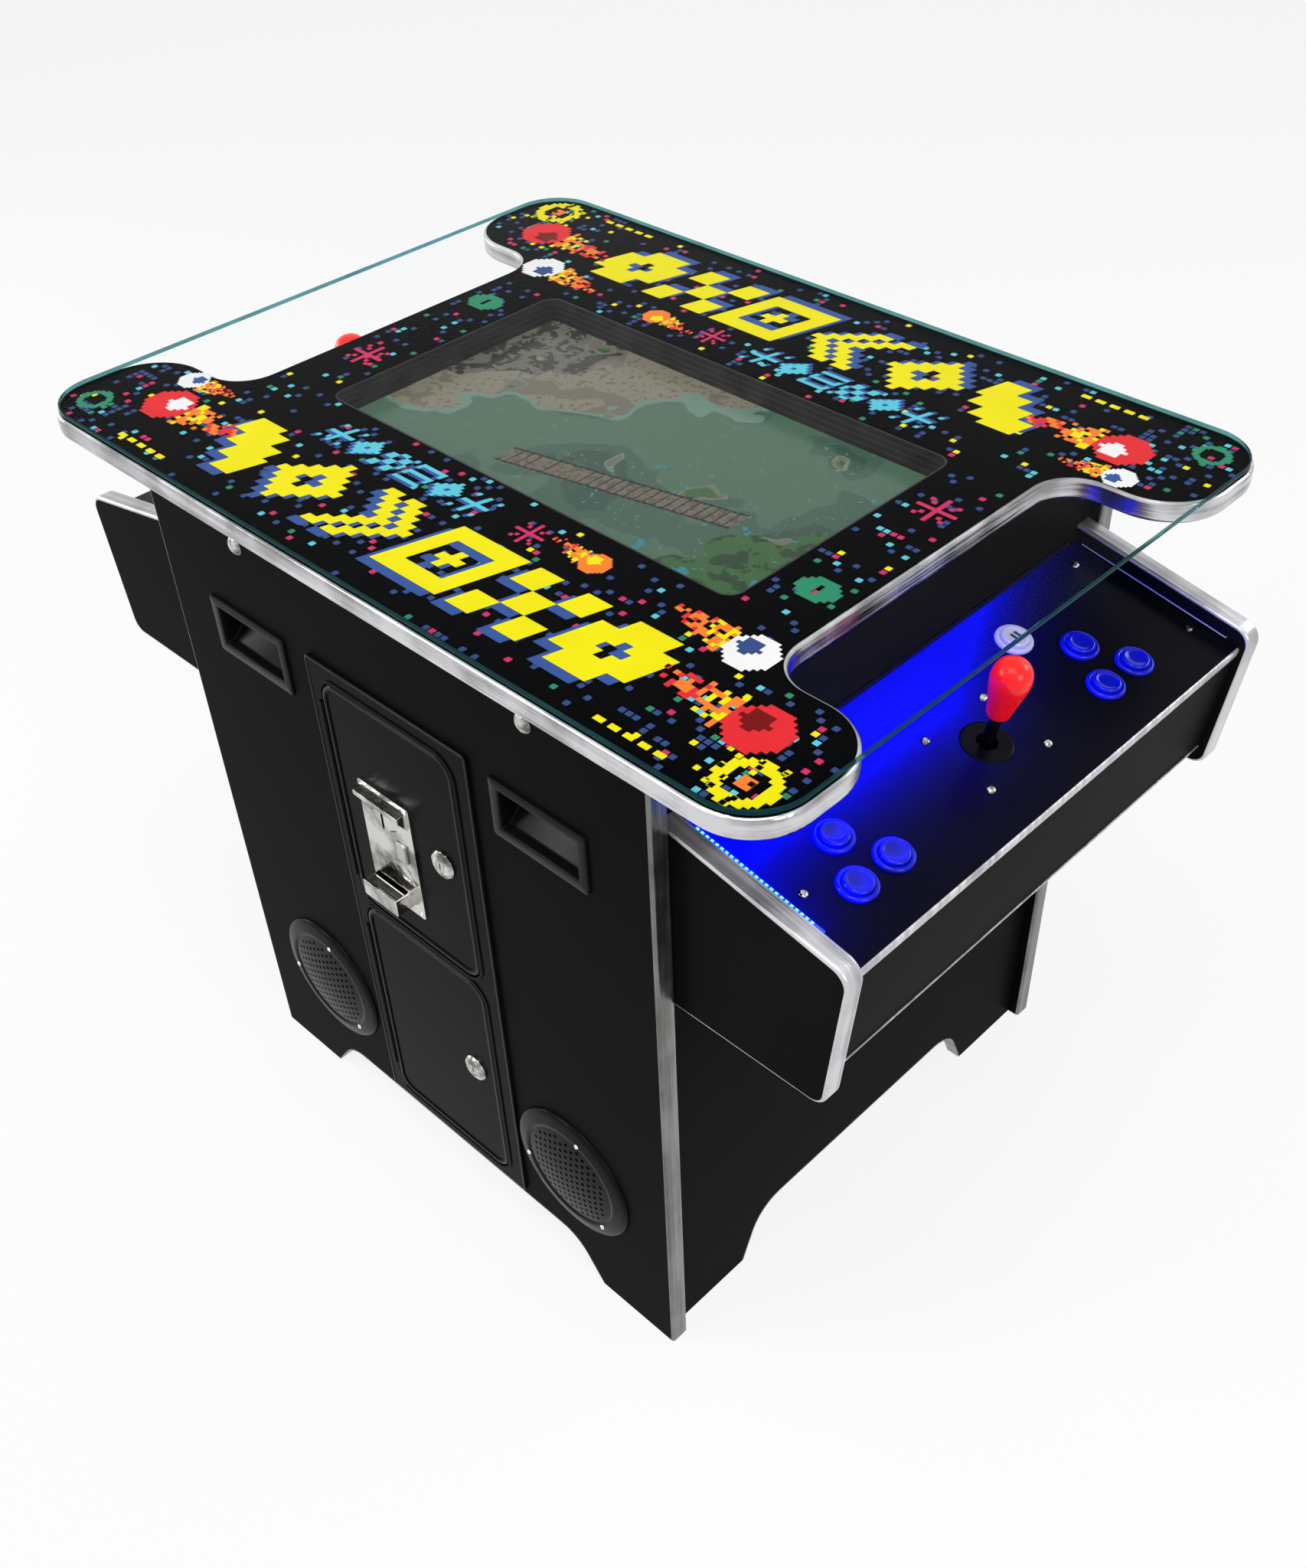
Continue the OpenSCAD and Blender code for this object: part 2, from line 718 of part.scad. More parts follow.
module speaker_grille() {
    crown = 4;
    skin = 2;
    seat = 3;
    ball_r = (dome_mesh_r * dome_mesh_r + crown * crown) / (2 * crown);
    difference() {
        rotate_extrude($fn = 96) {
            polygon([[dome_mesh_r - 1, 0], [speaker_r, 0], [speaker_r, 1.6], [speaker_r - 2, 2.8],
                     [speaker_r - 11, 3.2], [speaker_r - 14, 6.4], [dome_mesh_r + 3, 6.4],
                     [dome_mesh_r - 1, seat + skin]]);
            intersection() {
                translate([0, seat + crown - ball_r]) difference() {
                    circle(ball_r + skin, $fn = 360);
                    circle(ball_r, $fn = 360);
                }
                square([dome_mesh_r, 20]);
            }
        }
        for (ring = [0 : 4]) for (i = [0 : max(0, 6 * ring - 1)])
            rotate(i * 60 / max(ring, 1)) translate([ring * mesh_pitch, 0, -1])
                cylinder(r = mesh_hole_r, h = 14, $fn = 24);
        for (a = [75, 195, 315]) rotate(a) translate([speaker_r - 14, 0, -1]) // bezel screws
            cylinder(r = 1.6, h = 9, $fn = 24);
    }
}

module speaker_grilles() {
    color([0.15, 0.15, 0.16]) on_coin_side()
        for (x = [-1, 1]) translate([x * speaker_x, speaker_z, 0]) speaker_grille();
}

// Pressed basket, paper cone and magnet of a loudspeaker, seated on the panel's inner face
module speaker_drivers() {
    color([0.2, 0.2, 0.21]) on_coin_side()
        for (x = [-1, 1]) translate([x * speaker_x, speaker_z, -panel_t]) rotate_extrude($fn = 96)
            polygon([[0, -driver_deep], [driver_r * 0.56, -driver_deep], [driver_r * 0.56, -driver_deep + 15],
                     [driver_r * 0.4, -driver_deep + 16], [driver_r * 0.82, -6], [driver_r, -2.5],
                     [driver_r, 0], [driver_r - 8, 0], [driver_r - 10, -3], [driver_r * 0.3, -18],
                     [driver_r * 0.26, -14], [0, -11]]);
}

// ---- electronics

module power_supply() {
    w = psu_size.x;
    slots = 10;
    translate(psu_at) color([0.66, 0.67, 0.69]) difference() {
        cube(psu_size);
        for (i = [0 : slots - 1]) translate([w * 0.08 + i * (w * 0.87 / slots), -1, 10])
            cube([5, 4, psu_size.z - 18]);
        translate([w / 2, psu_size.y / 2, psu_size.z - 2]) cylinder(r = 26, h = 3);
    }
}

module game_board() {
    w = pcb_size.x;
    d = pcb_size.y;
    color([0.07, 0.35, 0.16]) translate(pcb_at) {
        for (x = [8, w - 8], y = [8, d - 8]) translate([x, y, 0]) cylinder(r = 4, h = pcb_post);
        translate([0, 0, pcb_post]) cube(pcb_size);
        translate([0, 0, pcb_post + pcb_size.z]) {
            translate([w / 2 - 20, d / 2 - 15, 0]) cube([38, 38, 6]);
            for (x = [12, w - 32]) translate([x, 30, 0]) cube([14, 60, 3]);
            translate([35, d - 16, 0]) cube([80, 10, 9]);
        }
    }
}

module power_inlet() {
    color([0.1, 0.1, 0.1]) on_far_side() translate([-inlet_x, inlet_z, 0]) difference() {
        union() {
            linear_extrude(2.5) rounded_rect(inlet_w + 13, inlet_h + 9, 4);
            translate([0, 0, -26]) linear_extrude(26) square([inlet_w, inlet_h], center = true);
        }
        difference() {
            translate([0, 0, -16]) linear_extrude(20) rounded_rect(inlet_w - 20, inlet_h - 8, 4);
            for (x = [-7, 0, 7]) translate([x, x == 0 ? 3 : -3, -16]) cylinder(r = 1.4, h = 13, $fn = 24);
        }
    }
}

// ---- control boxes

// X of the fascia's front at height z, and Z of the control panel's surface at distance x
function fascia_x(z) = cp_x - fascia_lean * (cp_z - z) / fascia_h;
function surface_z(x) = cp_z + (cp_x - x) * tan(panel_slope);

function box_side_points() =
    let (low = fascia_z - side_hang, lead = side_lead + trim_bulge - 1,
         front_x = cp_x + lead,
         front_z = surface_z(front_x) + side_rise / cos(panel_slope))
    [[end_x, low], [fascia_x(low) + lead, low], [front_x, front_z],
     [end_x, surface_z(end_x) + side_rise / cos(panel_slope)]];
side_low_r = 12;
side_top_r = 14;
trim_seam = 0.02;                                    // between the lengths of a side board's trim

module control_box_sides() {
    color([0.14, 0.13, 0.13]) at_both_players() for (s = [-1, 1])
        translate([0, s * (side_in + box_side_t / 2), 0]) across(box_side_t)
            polygon(rounded_points(box_side_points(), [0, side_low_r, side_top_r, 0]));
}

module control_box_boards() {
    under = control_t / cos(panel_slope);
    back = box_board_t;
    top_front = cp_z - under;
    color([0.13, 0.12, 0.12]) at_both_players() {
        across(2 * side_in) polygon([[fascia_x(fascia_z), fascia_z], [fascia_x(top_front), top_front],
            [fascia_x(top_front) - back, surface_z(fascia_x(top_front) - back) - under],
            [fascia_x(fascia_z) - back, fascia_z]]);
        floor_front = fascia_x(box_floor_z) - back - 0.2;
        across(2 * side_in) translate([end_x, box_floor_z]) square([floor_front - end_x, box_board_t]);
    }
}

// Trim along the open edges of one side board: under it, up its front and back over its top.
// Drawn in X and Y with the board's thickness along Z, then stood up by control_box_trims.
module side_trim() {
    p = box_side_points();
    front = (p[2] - p[1]) / norm(p[2] - p[1]);
    top = (p[3] - p[2]) / norm(p[3] - p[2]);
    front_a = atan2(front.y, front.x);
    top_a = atan2(top.y, top.x);
    low_cut = side_low_r * tan(front_a / 2);
    top_cut = side_top_r * tan((top_a - front_a) / 2);
    low_c = [p[1].x - low_cut, p[1].y + side_low_r];
    top_c = p[2] + top * top_cut + [-top.y, top.x] * side_top_r;
    // a straight length from a point, in the direction that turns angle a from X
    module length_from(at, a, len) {
        translate([at.x, at.y, 0]) rotate(a - 90) translate([0, trim_seam, 0])
            trim_run(len - 2 * trim_seam, box_side_t);
    }
    length_from(p[0], 0, p[1].x - low_cut - p[0].x);
    translate([low_c.x, low_c.y, 0]) rotate(-90) trim_bend(side_low_r, front_a, box_side_t);
    length_from(p[1] + front * low_cut, front_a, norm(p[2] - p[1]) - low_cut - top_cut);
    translate([top_c.x, top_c.y, 0]) rotate(front_a - 90)
        trim_bend(side_top_r, top_a - front_a, box_side_t);
    length_from(p[2] + top * top_cut, top_a, norm(p[3] - p[2]) - top_cut);
}

module control_box_trims() {
    color([0.8, 0.81, 0.83]) at_both_players() {
        for (s = [-1, 1]) translate([0, s * (side_in + box_side_t / 2) + box_side_t / 2, 0])
            rotate([90, 0, 0]) side_trim();
        on_control_panel() translate([0, -side_in, -control_t]) trim_run(2 * side_in, control_t, 2.5);
        across(2 * side_in) translate([fascia_x(fascia_z) - box_board_t, fascia_z - 1.5])
            square([box_board_t + 1, 1.5]);
    }
}

module control_panels() {
    color([0.09, 0.09, 0.11]) at_both_players() difference() {
        on_control_panel() across(2 * side_in)
            polygon([[-cp_len, 0], [0, 0], [0, -control_t],
                     [-cp_len + control_t * tan(panel_slope), -control_t]]);
        for (i = [0 : len(BUTTONS) - 1]) at_button(i) translate([0, 0, -control_t - 1])
            cylinder(r = button_hole_r, h = control_t + 2);
        at_stick() translate([0, 0, -control_t - 1]) {
            cylinder(r = stick_hole_r, h = control_t + 2);
            for (x = [-1, 1], y = [-1, 1]) translate([x * stick_bolt_x, y * stick_bolt_y, 0])
                cylinder(r = stick_bolt_r + 0.1, h = control_t + 2, $fn = 24);
        }
        on_control_panel() for (s = PANEL_SCREWS) translate([-s.x, s.y, -control_t - 1])
            cylinder(r = stick_bolt_r + 0.1, h = control_t + 2, $fn = 24);
    }
}

// Strips of small lamps along the side boards and the end panel, just over the control panel
module light_strips() {
    reach = end_x + led_t;
    color([0.35, 0.5, 1]) at_both_players() {
        for (s = [0, 1]) mirror([0, s, 0]) on_control_panel()
            translate([-cp_len + 8, side_in - led_t, 3]) cube([cp_len - 20, led_t, led_w]);
        translate([end_x, -side_in + 12, surface_z(reach) + 3]) cube([led_t, 2 * side_in - 24, led_w]);
    }
}

// ---- buttons

module button_collar() {
    bore = plunger_r + running;
    rotate_extrude() polygon([[bore, -tube_len], [button_hole_r - 0.2, -tube_len],
        [button_hole_r - 0.2, 0], [rim_r, 0], [rim_r, rim_h * 0.45], [rim_r - 0.7, rim_h * 0.8],
        [rim_r - 2, rim_h], [bore + 1, rim_h], [bore, rim_h - 0.8]]);
}

module button_collars() {
    color([0.05, 0.1, 0.9]) at_both_players()
        for (i = [0 : len(BUTTONS) - 1]) at_button(i) button_collar();
}

// Nut under the panel and the microswitch that the stem presses
module button_switches() {
    color([0.12, 0.12, 0.13]) at_both_players() for (i = [0 : len(BUTTONS) - 1]) at_button(i) {
        translate([0, 0, -control_t - 6]) difference() {
            cylinder(r = 18.5, h = 6, $fn = 12);
            translate([0, 0, -1]) cylinder(r = button_hole_r - 0.1, h = 8);
        }
        translate([-14, -5.2, -tube_len - 16]) cube([28, 10.4, 16]);
        translate([4, 0, -tube_len]) cylinder(r = 1.4, h = 0.7, $fn = 24);
    }
}

// Dished cap, skirt that runs in the collar, and the stem
module button_plunger(player, i) {
    color(i == START ? [0.92, 0.92, 0.98] : [0.06, 0.12, 0.95]) at_player(player) at_button(i)
        rotate_extrude() polygon([[0, -stem_end], [5.6, -stem_end], [5.6, -14], [plunger_r, -14],
            [plunger_r, rim_h], [plunger_r - 0.5, rim_h + 1.6], [plunger_r - 1.5, rim_h + 2.6],
            [plunger_r - 2.6, rim_h + 2.9], [plunger_r - 5, rim_h + 2.5], [0, rim_h + 2.2]]);
}

// ---- joysticks

// Plate, housing with two trunnion lugs, and the dust washer on the panel
module joystick_bases() {
    low = control_t + stick_plate_t;
    deep = 34;
    color([0.08, 0.08, 0.09]) at_both_players() at_stick() {
        translate([0, 0, -low]) linear_extrude(stick_plate_t) difference() {
            rounded_rect(2 * stick_bolt_x + 20, 2 * stick_bolt_y + 20, 4);
            circle(stick_hole_r);
            for (x = [-1, 1], y = [-1, 1]) translate([x * stick_bolt_x, y * stick_bolt_y])
                circle(stick_bolt_r + 0.1, $fn = 24);
        }
        difference() {
            union() {
                translate([0, 0, -low - deep]) difference() {
                    cylinder(r = lug_out + stick_wall, h = deep);
                    translate([0, 0, -1]) cylinder(r = lug_out, h = deep + 2);
                }
                for (s = [0, 1]) mirror([0, s, 0])
                    translate([-4, lug_in, -pivot_depth - 5]) cube([8, lug_out - lug_in + 2, 9]);
            }
            translate([0, 0, -pivot_depth]) rotate([90, 0, 0])
                cylinder(r = trunnion_r + running, h = 2 * lug_out + 3, center = true);
        }
        rotate_extrude() polygon([[washer_hole_r, 0], [washer_r, 0], [washer_r - 0.6, washer_t * 0.7],
            [washer_r - 2, washer_t], [washer_hole_r, washer_t]]);
    }
}

// Gimbal ring: its trunnions turn in the housing, and the shaft's pins turn in it
module joystick_pivot(player) {
    color([0.75, 0.74, 0.7]) at_player(player) at_stick() translate([0, 0, -pivot_depth]) difference() {
        union() {
            cylinder(r = ring_out, h = ring_h, center = true);
            rotate([90, 0, 0]) cylinder(r = trunnion_r, h = 2 * lug_out - 2, center = true);
        }
        cylinder(r = ring_in, h = ring_h + 2, center = true);
        rotate([0, 90, 0]) cylinder(r = stick_pin_r + running, h = 2 * ring_out + 2, center = true);
    }
}

module joystick_shaft(player) {
    color([0.16, 0.16, 0.17]) at_player(player) at_stick() {
        translate([0, 0, -stick_low]) cylinder(r = shaft_r, h = stick_low + bat_base + 18);
        translate([0, 0, -stick_low]) cylinder(r = shaft_r + 2, h = 7);
        translate([0, 0, -pivot_depth]) rotate([0, 90, 0])
            cylinder(r = stick_pin_r, h = 2 * ring_out - 0.6, center = true);
    }
}

// Radius of the bat grip at share t of its length: a slim foot, widest near the top, a round crown
function bat_shape(t) =
    t < 0.06 ? 0.42 + 0.1 * sin(90 * t / 0.06)
    : t < 0.68 ? 0.52 + 0.48 * sin(90 * (t - 0.06) / 0.62)
    : sqrt(max(0, 1 - pow((t - 0.68) / 0.32, 2)));

module joystick_bat(player) {
    steps = 24;
    color([0.9, 0.05, 0.04]) at_player(player) at_stick() translate([0, 0, bat_base]) rotate_extrude()
        polygon(concat([[shaft_r, 18], [shaft_r, 0]],
            [for (i = [0 : steps - 1]) [bat_r * bat_shape(i / steps), bat_len * i / steps]],
            [[0, bat_len], [0, 18]]));
}

// ---- coin door

module door_rect(z, h, grow, r = door_r) {
    translate([door_left + door_w / 2, z + h / 2]) rounded_rect(door_w + 2 * grow, h + 2 * grow, r);
}

// Opening for one door, with room for the hinge along its left side
module door_opening(z, h) {
    door_rect(z, h, door_play, door_r + door_play);
    translate([hinge_x - 3.4, z + (h - hinge_len) / 2]) square([20, hinge_len]);
}

// Every second knuckle of a hinge, drawn as tubes along the local Y axis
module hinge_knuckles(z, h, first, bore) {
    pitch = hinge_len / knuckles;
    for (i = [first : 2 : knuckles - 1])
        translate([hinge_x, z + (h - hinge_len) / 2 + i * pitch + 0.2, hinge_d]) rotate([-90, 0, 0])
            difference() {
                cylinder(r = knuckle_r, h = pitch - 0.4);
                if (bore) translate([0, 0, -1]) cylinder(r = hinge_pin_r + running, h = pitch + 2);
            }
}

// Flat tabs from the knuckles to the leaf that carries them
module hinge_tabs(z, h, first, from_x, to_x, back, t) {
    pitch = hinge_len / knuckles;
    for (i = [first : 2 : knuckles - 1])
        translate([from_x, z + (h - hinge_len) / 2 + i * pitch + 0.2, back])
            cube([to_x - from_x, pitch - 0.4, t]);
}

module coin_door_frame() {
    doors = [[upper_door_z, upper_door_h], [lower_door_z, lower_door_h]];
    color([0.12, 0.12, 0.12]) on_coin_side() {
        linear_extrude(frame_t) difference() {
            frame_rect(0, 4);
            for (d = doors) door_opening(d[0], d[1]);
        }
        for (d = doors) translate([0, 0, frame_t]) linear_extrude(1.2) difference() { // raised lips
            door_rect(d[0], d[1], door_play + 3, door_r + door_play + 3);
            door_rect(d[0], d[1], door_play, door_r + door_play);
            translate([door_left - 20, d[0]]) square([20 + door_r, d[1]]);
        }
        translate([0, 0, -sleeve_deep]) linear_extrude(sleeve_deep) difference() {
            frame_rect(sleeve_inset, 2);
            frame_rect(sleeve_inset + sleeve_t, 1);
        }
        for (z = [upper_lock_z, lower_lock_z]) // strike lips that the lock cams turn behind
            translate([frame_left + frame_w - sleeve_inset - strike, z - 15, -sleeve_deep])
                cube([strike - 0.5, 30, 2]);
        for (d = doors) {
            hinge_knuckles(d[0], d[1], 0, false);
            hinge_tabs(d[0], d[1], 0, hinge_x - 4, hinge_x, 0, frame_t - 0.4);
            translate([hinge_x, d[0] + (d[1] - hinge_len) / 2 + 1, hinge_d]) rotate([-90, 0, 0])
                cylinder(r = hinge_pin_r, h = hinge_len - 2);
        }
    }
}

module door_leaf(z, h) {
    translate([0, 0, door_back]) linear_extrude(door_t) door_rect(z, h, 0);
    translate([0, 0, frame_t]) linear_extrude(1.1) difference() { // pressed rim
        door_rect(z, h, -3, door_r - 3);
        door_rect(z, h, -6, door_r - 6);
    }
    difference() {
        union() {
            hinge_knuckles(z, h, 1, true);
            hinge_tabs(z, h, 1, hinge_x, door_left + 2, door_back, door_t - 0.4);
        }
        translate([hinge_x, z, hinge_d]) rotate([-90, 0, 0])
            cylinder(r = hinge_pin_r + running, h = h);
    }
}

module lock_hole(z) {
    translate([lock_x, z, -1]) cylinder(r = lock_r + 0.1, h = 9);
}

module upper_coin_door() {
    color([0.12, 0.12, 0.12]) on_coin_side() difference() {
        door_leaf(upper_door_z, upper_door_h);
        lock_hole(upper_lock_z);
        translate([cup_x - cup_w / 2, cup_z - cup_h / 2 + cup_wall, -1])
            cube([cup_w, cup_h - cup_wall, 9]);
        translate([coin_x - 6, coin_z + 18, -1]) cube([12, 34, 9]);
        translate([reject_x - reject_w / 2 - 1, reject_z - reject_h / 2 - 1, -1])
            cube([reject_w + 2, reject_h + 2, 9]);
    }
}

module lower_cash_door() {
    color([0.12, 0.12, 0.12]) on_coin_side() difference() {
        door_leaf(lower_door_z, lower_door_h);
        lock_hole(lower_lock_z);
    }
}

// Bright plate with the coin head, the reject button's hole and the return cup
module coin_slot_plate() {
    face = frame_t + plate_t;
    color([0.74, 0.74, 0.72]) on_coin_side() difference() {
        union() {
            translate([coin_x, coin_z, frame_t]) linear_extrude(plate_t) rounded_rect(plate_w, plate_h, 3);
            translate([coin_x - plate_w / 2 + 4, 0, 0]) rotate([90, 0, 90]) linear_extrude(plate_w - 8)
                polygon([[coin_z + plate_h / 2 - 4, face], [coin_z + plate_h / 2 - 6, face + 9],
                         [coin_z + plate_h / 2 - 11, face + 9], [coin_z + plate_h / 2 - 24, face]]);
            translate([coin_x, coin_z + 38, face]) cylinder(r1 = 15, r2 = 12, h = 4);
            translate([cup_x, cup_z, face]) linear_extrude(cup_out)
                rounded_rect(cup_w + 2 * cup_wall, cup_h, 2);
        }
        translate([cup_x - cup_w / 2, cup_z - cup_h / 2 + cup_wall, frame_t - 1])
            cube([cup_w, cup_h, face + cup_out - cup_wall - frame_t + 1]); // pocket, open at its top
        translate([coin_x - 1.7, coin_z + 22, frame_t - 1]) cube([3.4, 28, 20]);
        translate([reject_x - reject_w / 2 - 0.3, reject_z - reject_h / 2 - 0.3, frame_t - 1])
            cube([reject_w + 0.6, reject_h + 0.6, 9]);
        translate([cup_x, flap_z, flap_d]) rotate([0, 90, 0])
            cylinder(r = flap_pin_r + running, h = cup_w + 2 * cup_wall + 2, center = true);
    }
}

module coin_return_flap() {
    color([0.68, 0.68, 0.67]) on_coin_side() translate([cup_x, flap_z, flap_d]) {
        rotate([0, 90, 0]) cylinder(r = flap_pin_r, h = cup_w + 2 * cup_wall - 0.6, center = true);
        translate([-cup_w / 2 + 0.5, -cup_h + cup_wall + 3.4, -0.6])
            cube([cup_w - 1, cup_h - cup_wall - 3.4, 1.2]);
    }
}

module coin_reject_button() {
    color([0.72, 0.73, 0.76]) on_coin_side() translate([reject_x, reject_z, 0]) {
        translate([0, 0, -3]) linear_extrude(frame_t + plate_t + 4.5)
            square([reject_w, reject_h], center = true);
        translate([0, 0, frame_t + plate_t + 1.5]) linear_extrude(1)
            square([reject_w - 1.6, reject_h - 1.6], center = true);
    }
}

// Acceptor body behind the upper door, with the coin's way in at its top
module coin_acceptor() {
    low = flap_z + 5;
    high = coin_z + plate_h / 2 - 4;
    color([0.5, 0.5, 0.48]) on_coin_side() difference() {
        translate([coin_x - 29, low, -48]) cube([56, high - low, 48 + door_back]);
        translate([coin_x - 6, coin_z + 18, -40]) cube([12, 34, 60]);
        translate([reject_x - reject_w / 2 - 1, reject_z - reject_h / 2 - 1, -12])
            cube([20, reject_h + 2, 30]);
    }
}

module lock_barrel(z) {
    face = frame_t;
    bore = plug_r + running;
    color([0.82, 0.83, 0.85]) on_coin_side() translate([lock_x, z, 0]) {
        rotate_extrude() polygon([[bore, -lock_deep], [lock_r, -lock_deep], [lock_r, face], [14, face],
            [14, face + 1.4], [12.6, face + 3.4], [10, face + 4.6], [bore, face + 5]]);
        translate([0, 0, door_back - 5]) difference() {
            cylinder(r = 14, h = 5, $fn = 6);
            translate([0, 0, -1]) cylinder(r = lock_r + 0.05, h = 7);
        }
    }
}

// Turning plug with its key slot, and the cam that swings behind the frame
module lock_cam(z) {
    color([0.7, 0.7, 0.68]) on_coin_side() translate([lock_x, z, 0]) {
        difference() {
            translate([0, 0, -lock_deep - 0.3]) cylinder(r = plug_r, h = lock_deep + frame_t + 5);
            translate([-0.8, -3.6, frame_t - 4]) cube([1.6, 7.2, 12]);
        }
        translate([0, 0, -lock_deep - 2.5]) linear_extrude(2.2) {
            circle(7.5);
            translate([-7, 0]) square([14, cam_len - 4]);
            translate([0, cam_len - 7]) circle(7);
        }
    }
}

module cash_box() {
    w = cash_wall;
    color([0.55, 0.56, 0.57])
        translate([-cash_size.x / 2, -inner_hy + cash_gap, end_skirt_h + base_t]) difference() {
            cube(cash_size);
            translate([w, w, w]) cube([cash_size.x - 2 * w, cash_size.y - 2 * w, cash_size.z]);
        }
}

glass_top();
artwork_sheet();
tabletop_board();
tabletop_trim();
screen_bezel();
lcd_panel();
monitor_case();
steel_brackets();
bolts_and_screws();
coin_side_panel();
far_side_panel();
end_panels();
inner_timber();
panel_trims();
handle_cups();
speaker_grilles();
speaker_drivers();
power_supply();
game_board();
power_inlet();
control_box_sides();
control_box_boards();
control_box_trims();
control_panels();
light_strips();
button_collars();
button_switches();
joystick_bases();
coin_door_frame();
upper_coin_door();
lower_cash_door();
coin_slot_plate();
coin_acceptor();
coin_reject_button();
coin_return_flap();
lock_barrel(upper_lock_z);  // upper_lock_barrel
lock_cam(upper_lock_z);  // upper_lock_cam
lock_barrel(lower_lock_z);  // lower_lock_barrel
lock_cam(lower_lock_z);  // lower_lock_cam
cash_box();
for (p = PLAYERS) {
    joystick_pivot(p);
    joystick_shaft(p);
    joystick_bat(p);
    for (i = [0 : len(BUTTONS) - 1])
        button_plunger(p, i);
}
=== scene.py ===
import json
from functools import partial
from math import cos, hypot, pi, radians, sin, sqrt

import bmesh
import bpy
from mathutils import Matrix, Vector


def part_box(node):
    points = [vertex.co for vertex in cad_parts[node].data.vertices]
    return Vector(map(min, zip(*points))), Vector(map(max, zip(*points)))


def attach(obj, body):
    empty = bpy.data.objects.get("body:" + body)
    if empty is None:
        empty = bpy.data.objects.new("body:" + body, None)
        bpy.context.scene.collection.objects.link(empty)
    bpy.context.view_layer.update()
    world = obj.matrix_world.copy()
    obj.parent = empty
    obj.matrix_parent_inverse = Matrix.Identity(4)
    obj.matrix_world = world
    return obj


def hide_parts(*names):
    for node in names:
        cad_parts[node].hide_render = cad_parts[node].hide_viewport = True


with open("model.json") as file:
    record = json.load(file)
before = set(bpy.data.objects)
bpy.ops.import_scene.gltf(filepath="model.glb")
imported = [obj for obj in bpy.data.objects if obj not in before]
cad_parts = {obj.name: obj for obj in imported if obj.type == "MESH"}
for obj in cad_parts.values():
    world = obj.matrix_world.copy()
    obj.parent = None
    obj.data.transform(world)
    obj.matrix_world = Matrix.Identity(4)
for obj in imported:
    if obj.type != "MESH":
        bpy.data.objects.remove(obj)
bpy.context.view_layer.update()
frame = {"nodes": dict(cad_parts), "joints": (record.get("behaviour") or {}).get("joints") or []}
nodes = frame["nodes"]
joints = {j["name"]: j for j in frame["joints"]}
print("frame loaded:", len(nodes), "nodes")

camera = {
    "place": (0.9106, -0.8692, 1.4058),
    "heading": 45.2,      # degrees from +Y towards -X
    "down": 41.8,
    "roll": -1.97,
    "lens": 37.9,
    "shift": (-0.0125, 0.027),
}


def newObject(name, data):
    ob = bpy.data.objects.new(name, data)
    bpy.context.collection.objects.link(ob)
    return ob


def moved(x, y, z=0):
    return Matrix.Translation((x, y, z))


def addCamera(c):
    data = bpy.data.cameras.new("viewCamera")
    data.lens = c["lens"]
    data.sensor_width = 36
    data.shift_x, data.shift_y = c["shift"]
    data.clip_end = 60
    cam = newObject("viewCamera", data)
    cam.matrix_world = (moved(*c["place"]) @ Matrix.Rotation(radians(c["heading"]), 4, "Z")
                        @ Matrix.Rotation(radians(90 - c["down"]), 4, "X")
                        @ Matrix.Rotation(radians(c["roll"]), 4, "Z"))
    bpy.context.scene.camera = cam


addCamera(camera)
bpy.context.scene.view_settings.view_transform = "Standard"


# Places, read from the model: the coin side's face, its opposite, and the two control panels

low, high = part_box("coin_side_panel")
coinFace = Matrix(((1, 0, 0, 0), (0, 0, -1, low.y), (0, 1, 0, 0), (0, 0, 0, 1)))   # X right, Y up, Z out
halfTurn = Matrix.Rotation(pi, 4, "Z")
farFace = halfTurn @ coinFace
pivotDepth = 0.016       # of the joystick under the control panel's face


# X down the slope, Y along the table, Z square to the control panel, from the joystick's axis
def panelPlace(player):
    down = Vector(joints[f"player_{player}_button_1_press"]["axis"])
    up = -down
    along = Vector((0, 1 if player == 1 else -1, 0))
    slope = along.cross(up)
    at = Vector(joints[f"player_{player}_stick_towards"]["pos_m"]) + up * pivotDepth
    return Matrix.Translation(at) @ Matrix((slope, along, up)).transposed().to_4x4()


panelFrame = {p: panelPlace(p) for p in (1, 2)}
panelUp = -Vector(joints["player_1_button_1_press"]["axis"])
slopeUp = Vector((abs(panelUp.x), 0, panelUp.z))
panelLevel = abs(panelFrame[1].translation.x) * slopeUp.x + panelFrame[1].translation.z * slopeUp.z


# Small helpers for materials; every finish is kept under its name

looks = {}


def newMaterial(name, sockets=None):
    mat = looks[name] = bpy.data.materials.new(name)
    mat.use_nodes = True
    for socket, value in {"Roughness": 0.5, **(sockets or {})}.items():
        give(mat, shader(mat), socket, value)
    return mat


def shader(mat):
    return mat.node_tree.nodes["Principled BSDF"]


def give(mat, node, socket, value):
    if isinstance(value, bpy.types.NodeSocket):
        mat.node_tree.links.new(value, node.inputs[socket])
    else:
        if isinstance(value, tuple) and len(value) == 3 and len(node.inputs[socket].default_value) == 4:
            value = (*value, 1)
        node.inputs[socket].default_value = value


def addNode(mat, kind, inputs=None, **settings):
    node = mat.node_tree.nodes.new("ShaderNode" + kind)
    for key, value in settings.items():
        setattr(node, key, value)
    for socket, value in (inputs or {}).items():
        give(mat, node, socket, value)
    return node


def coordinate(mat, kind="Object"):
    return addNode(mat, "TexCoord").outputs[kind]


def axesOf(mat, place):
    return addNode(mat, "SeparateXYZ", {0: place}).outputs


def spot(mat, scale=(1, 1, 1)):
    return addNode(mat, "Mapping", {"Vector": coordinate(mat), "Scale": scale}).outputs["Vector"]


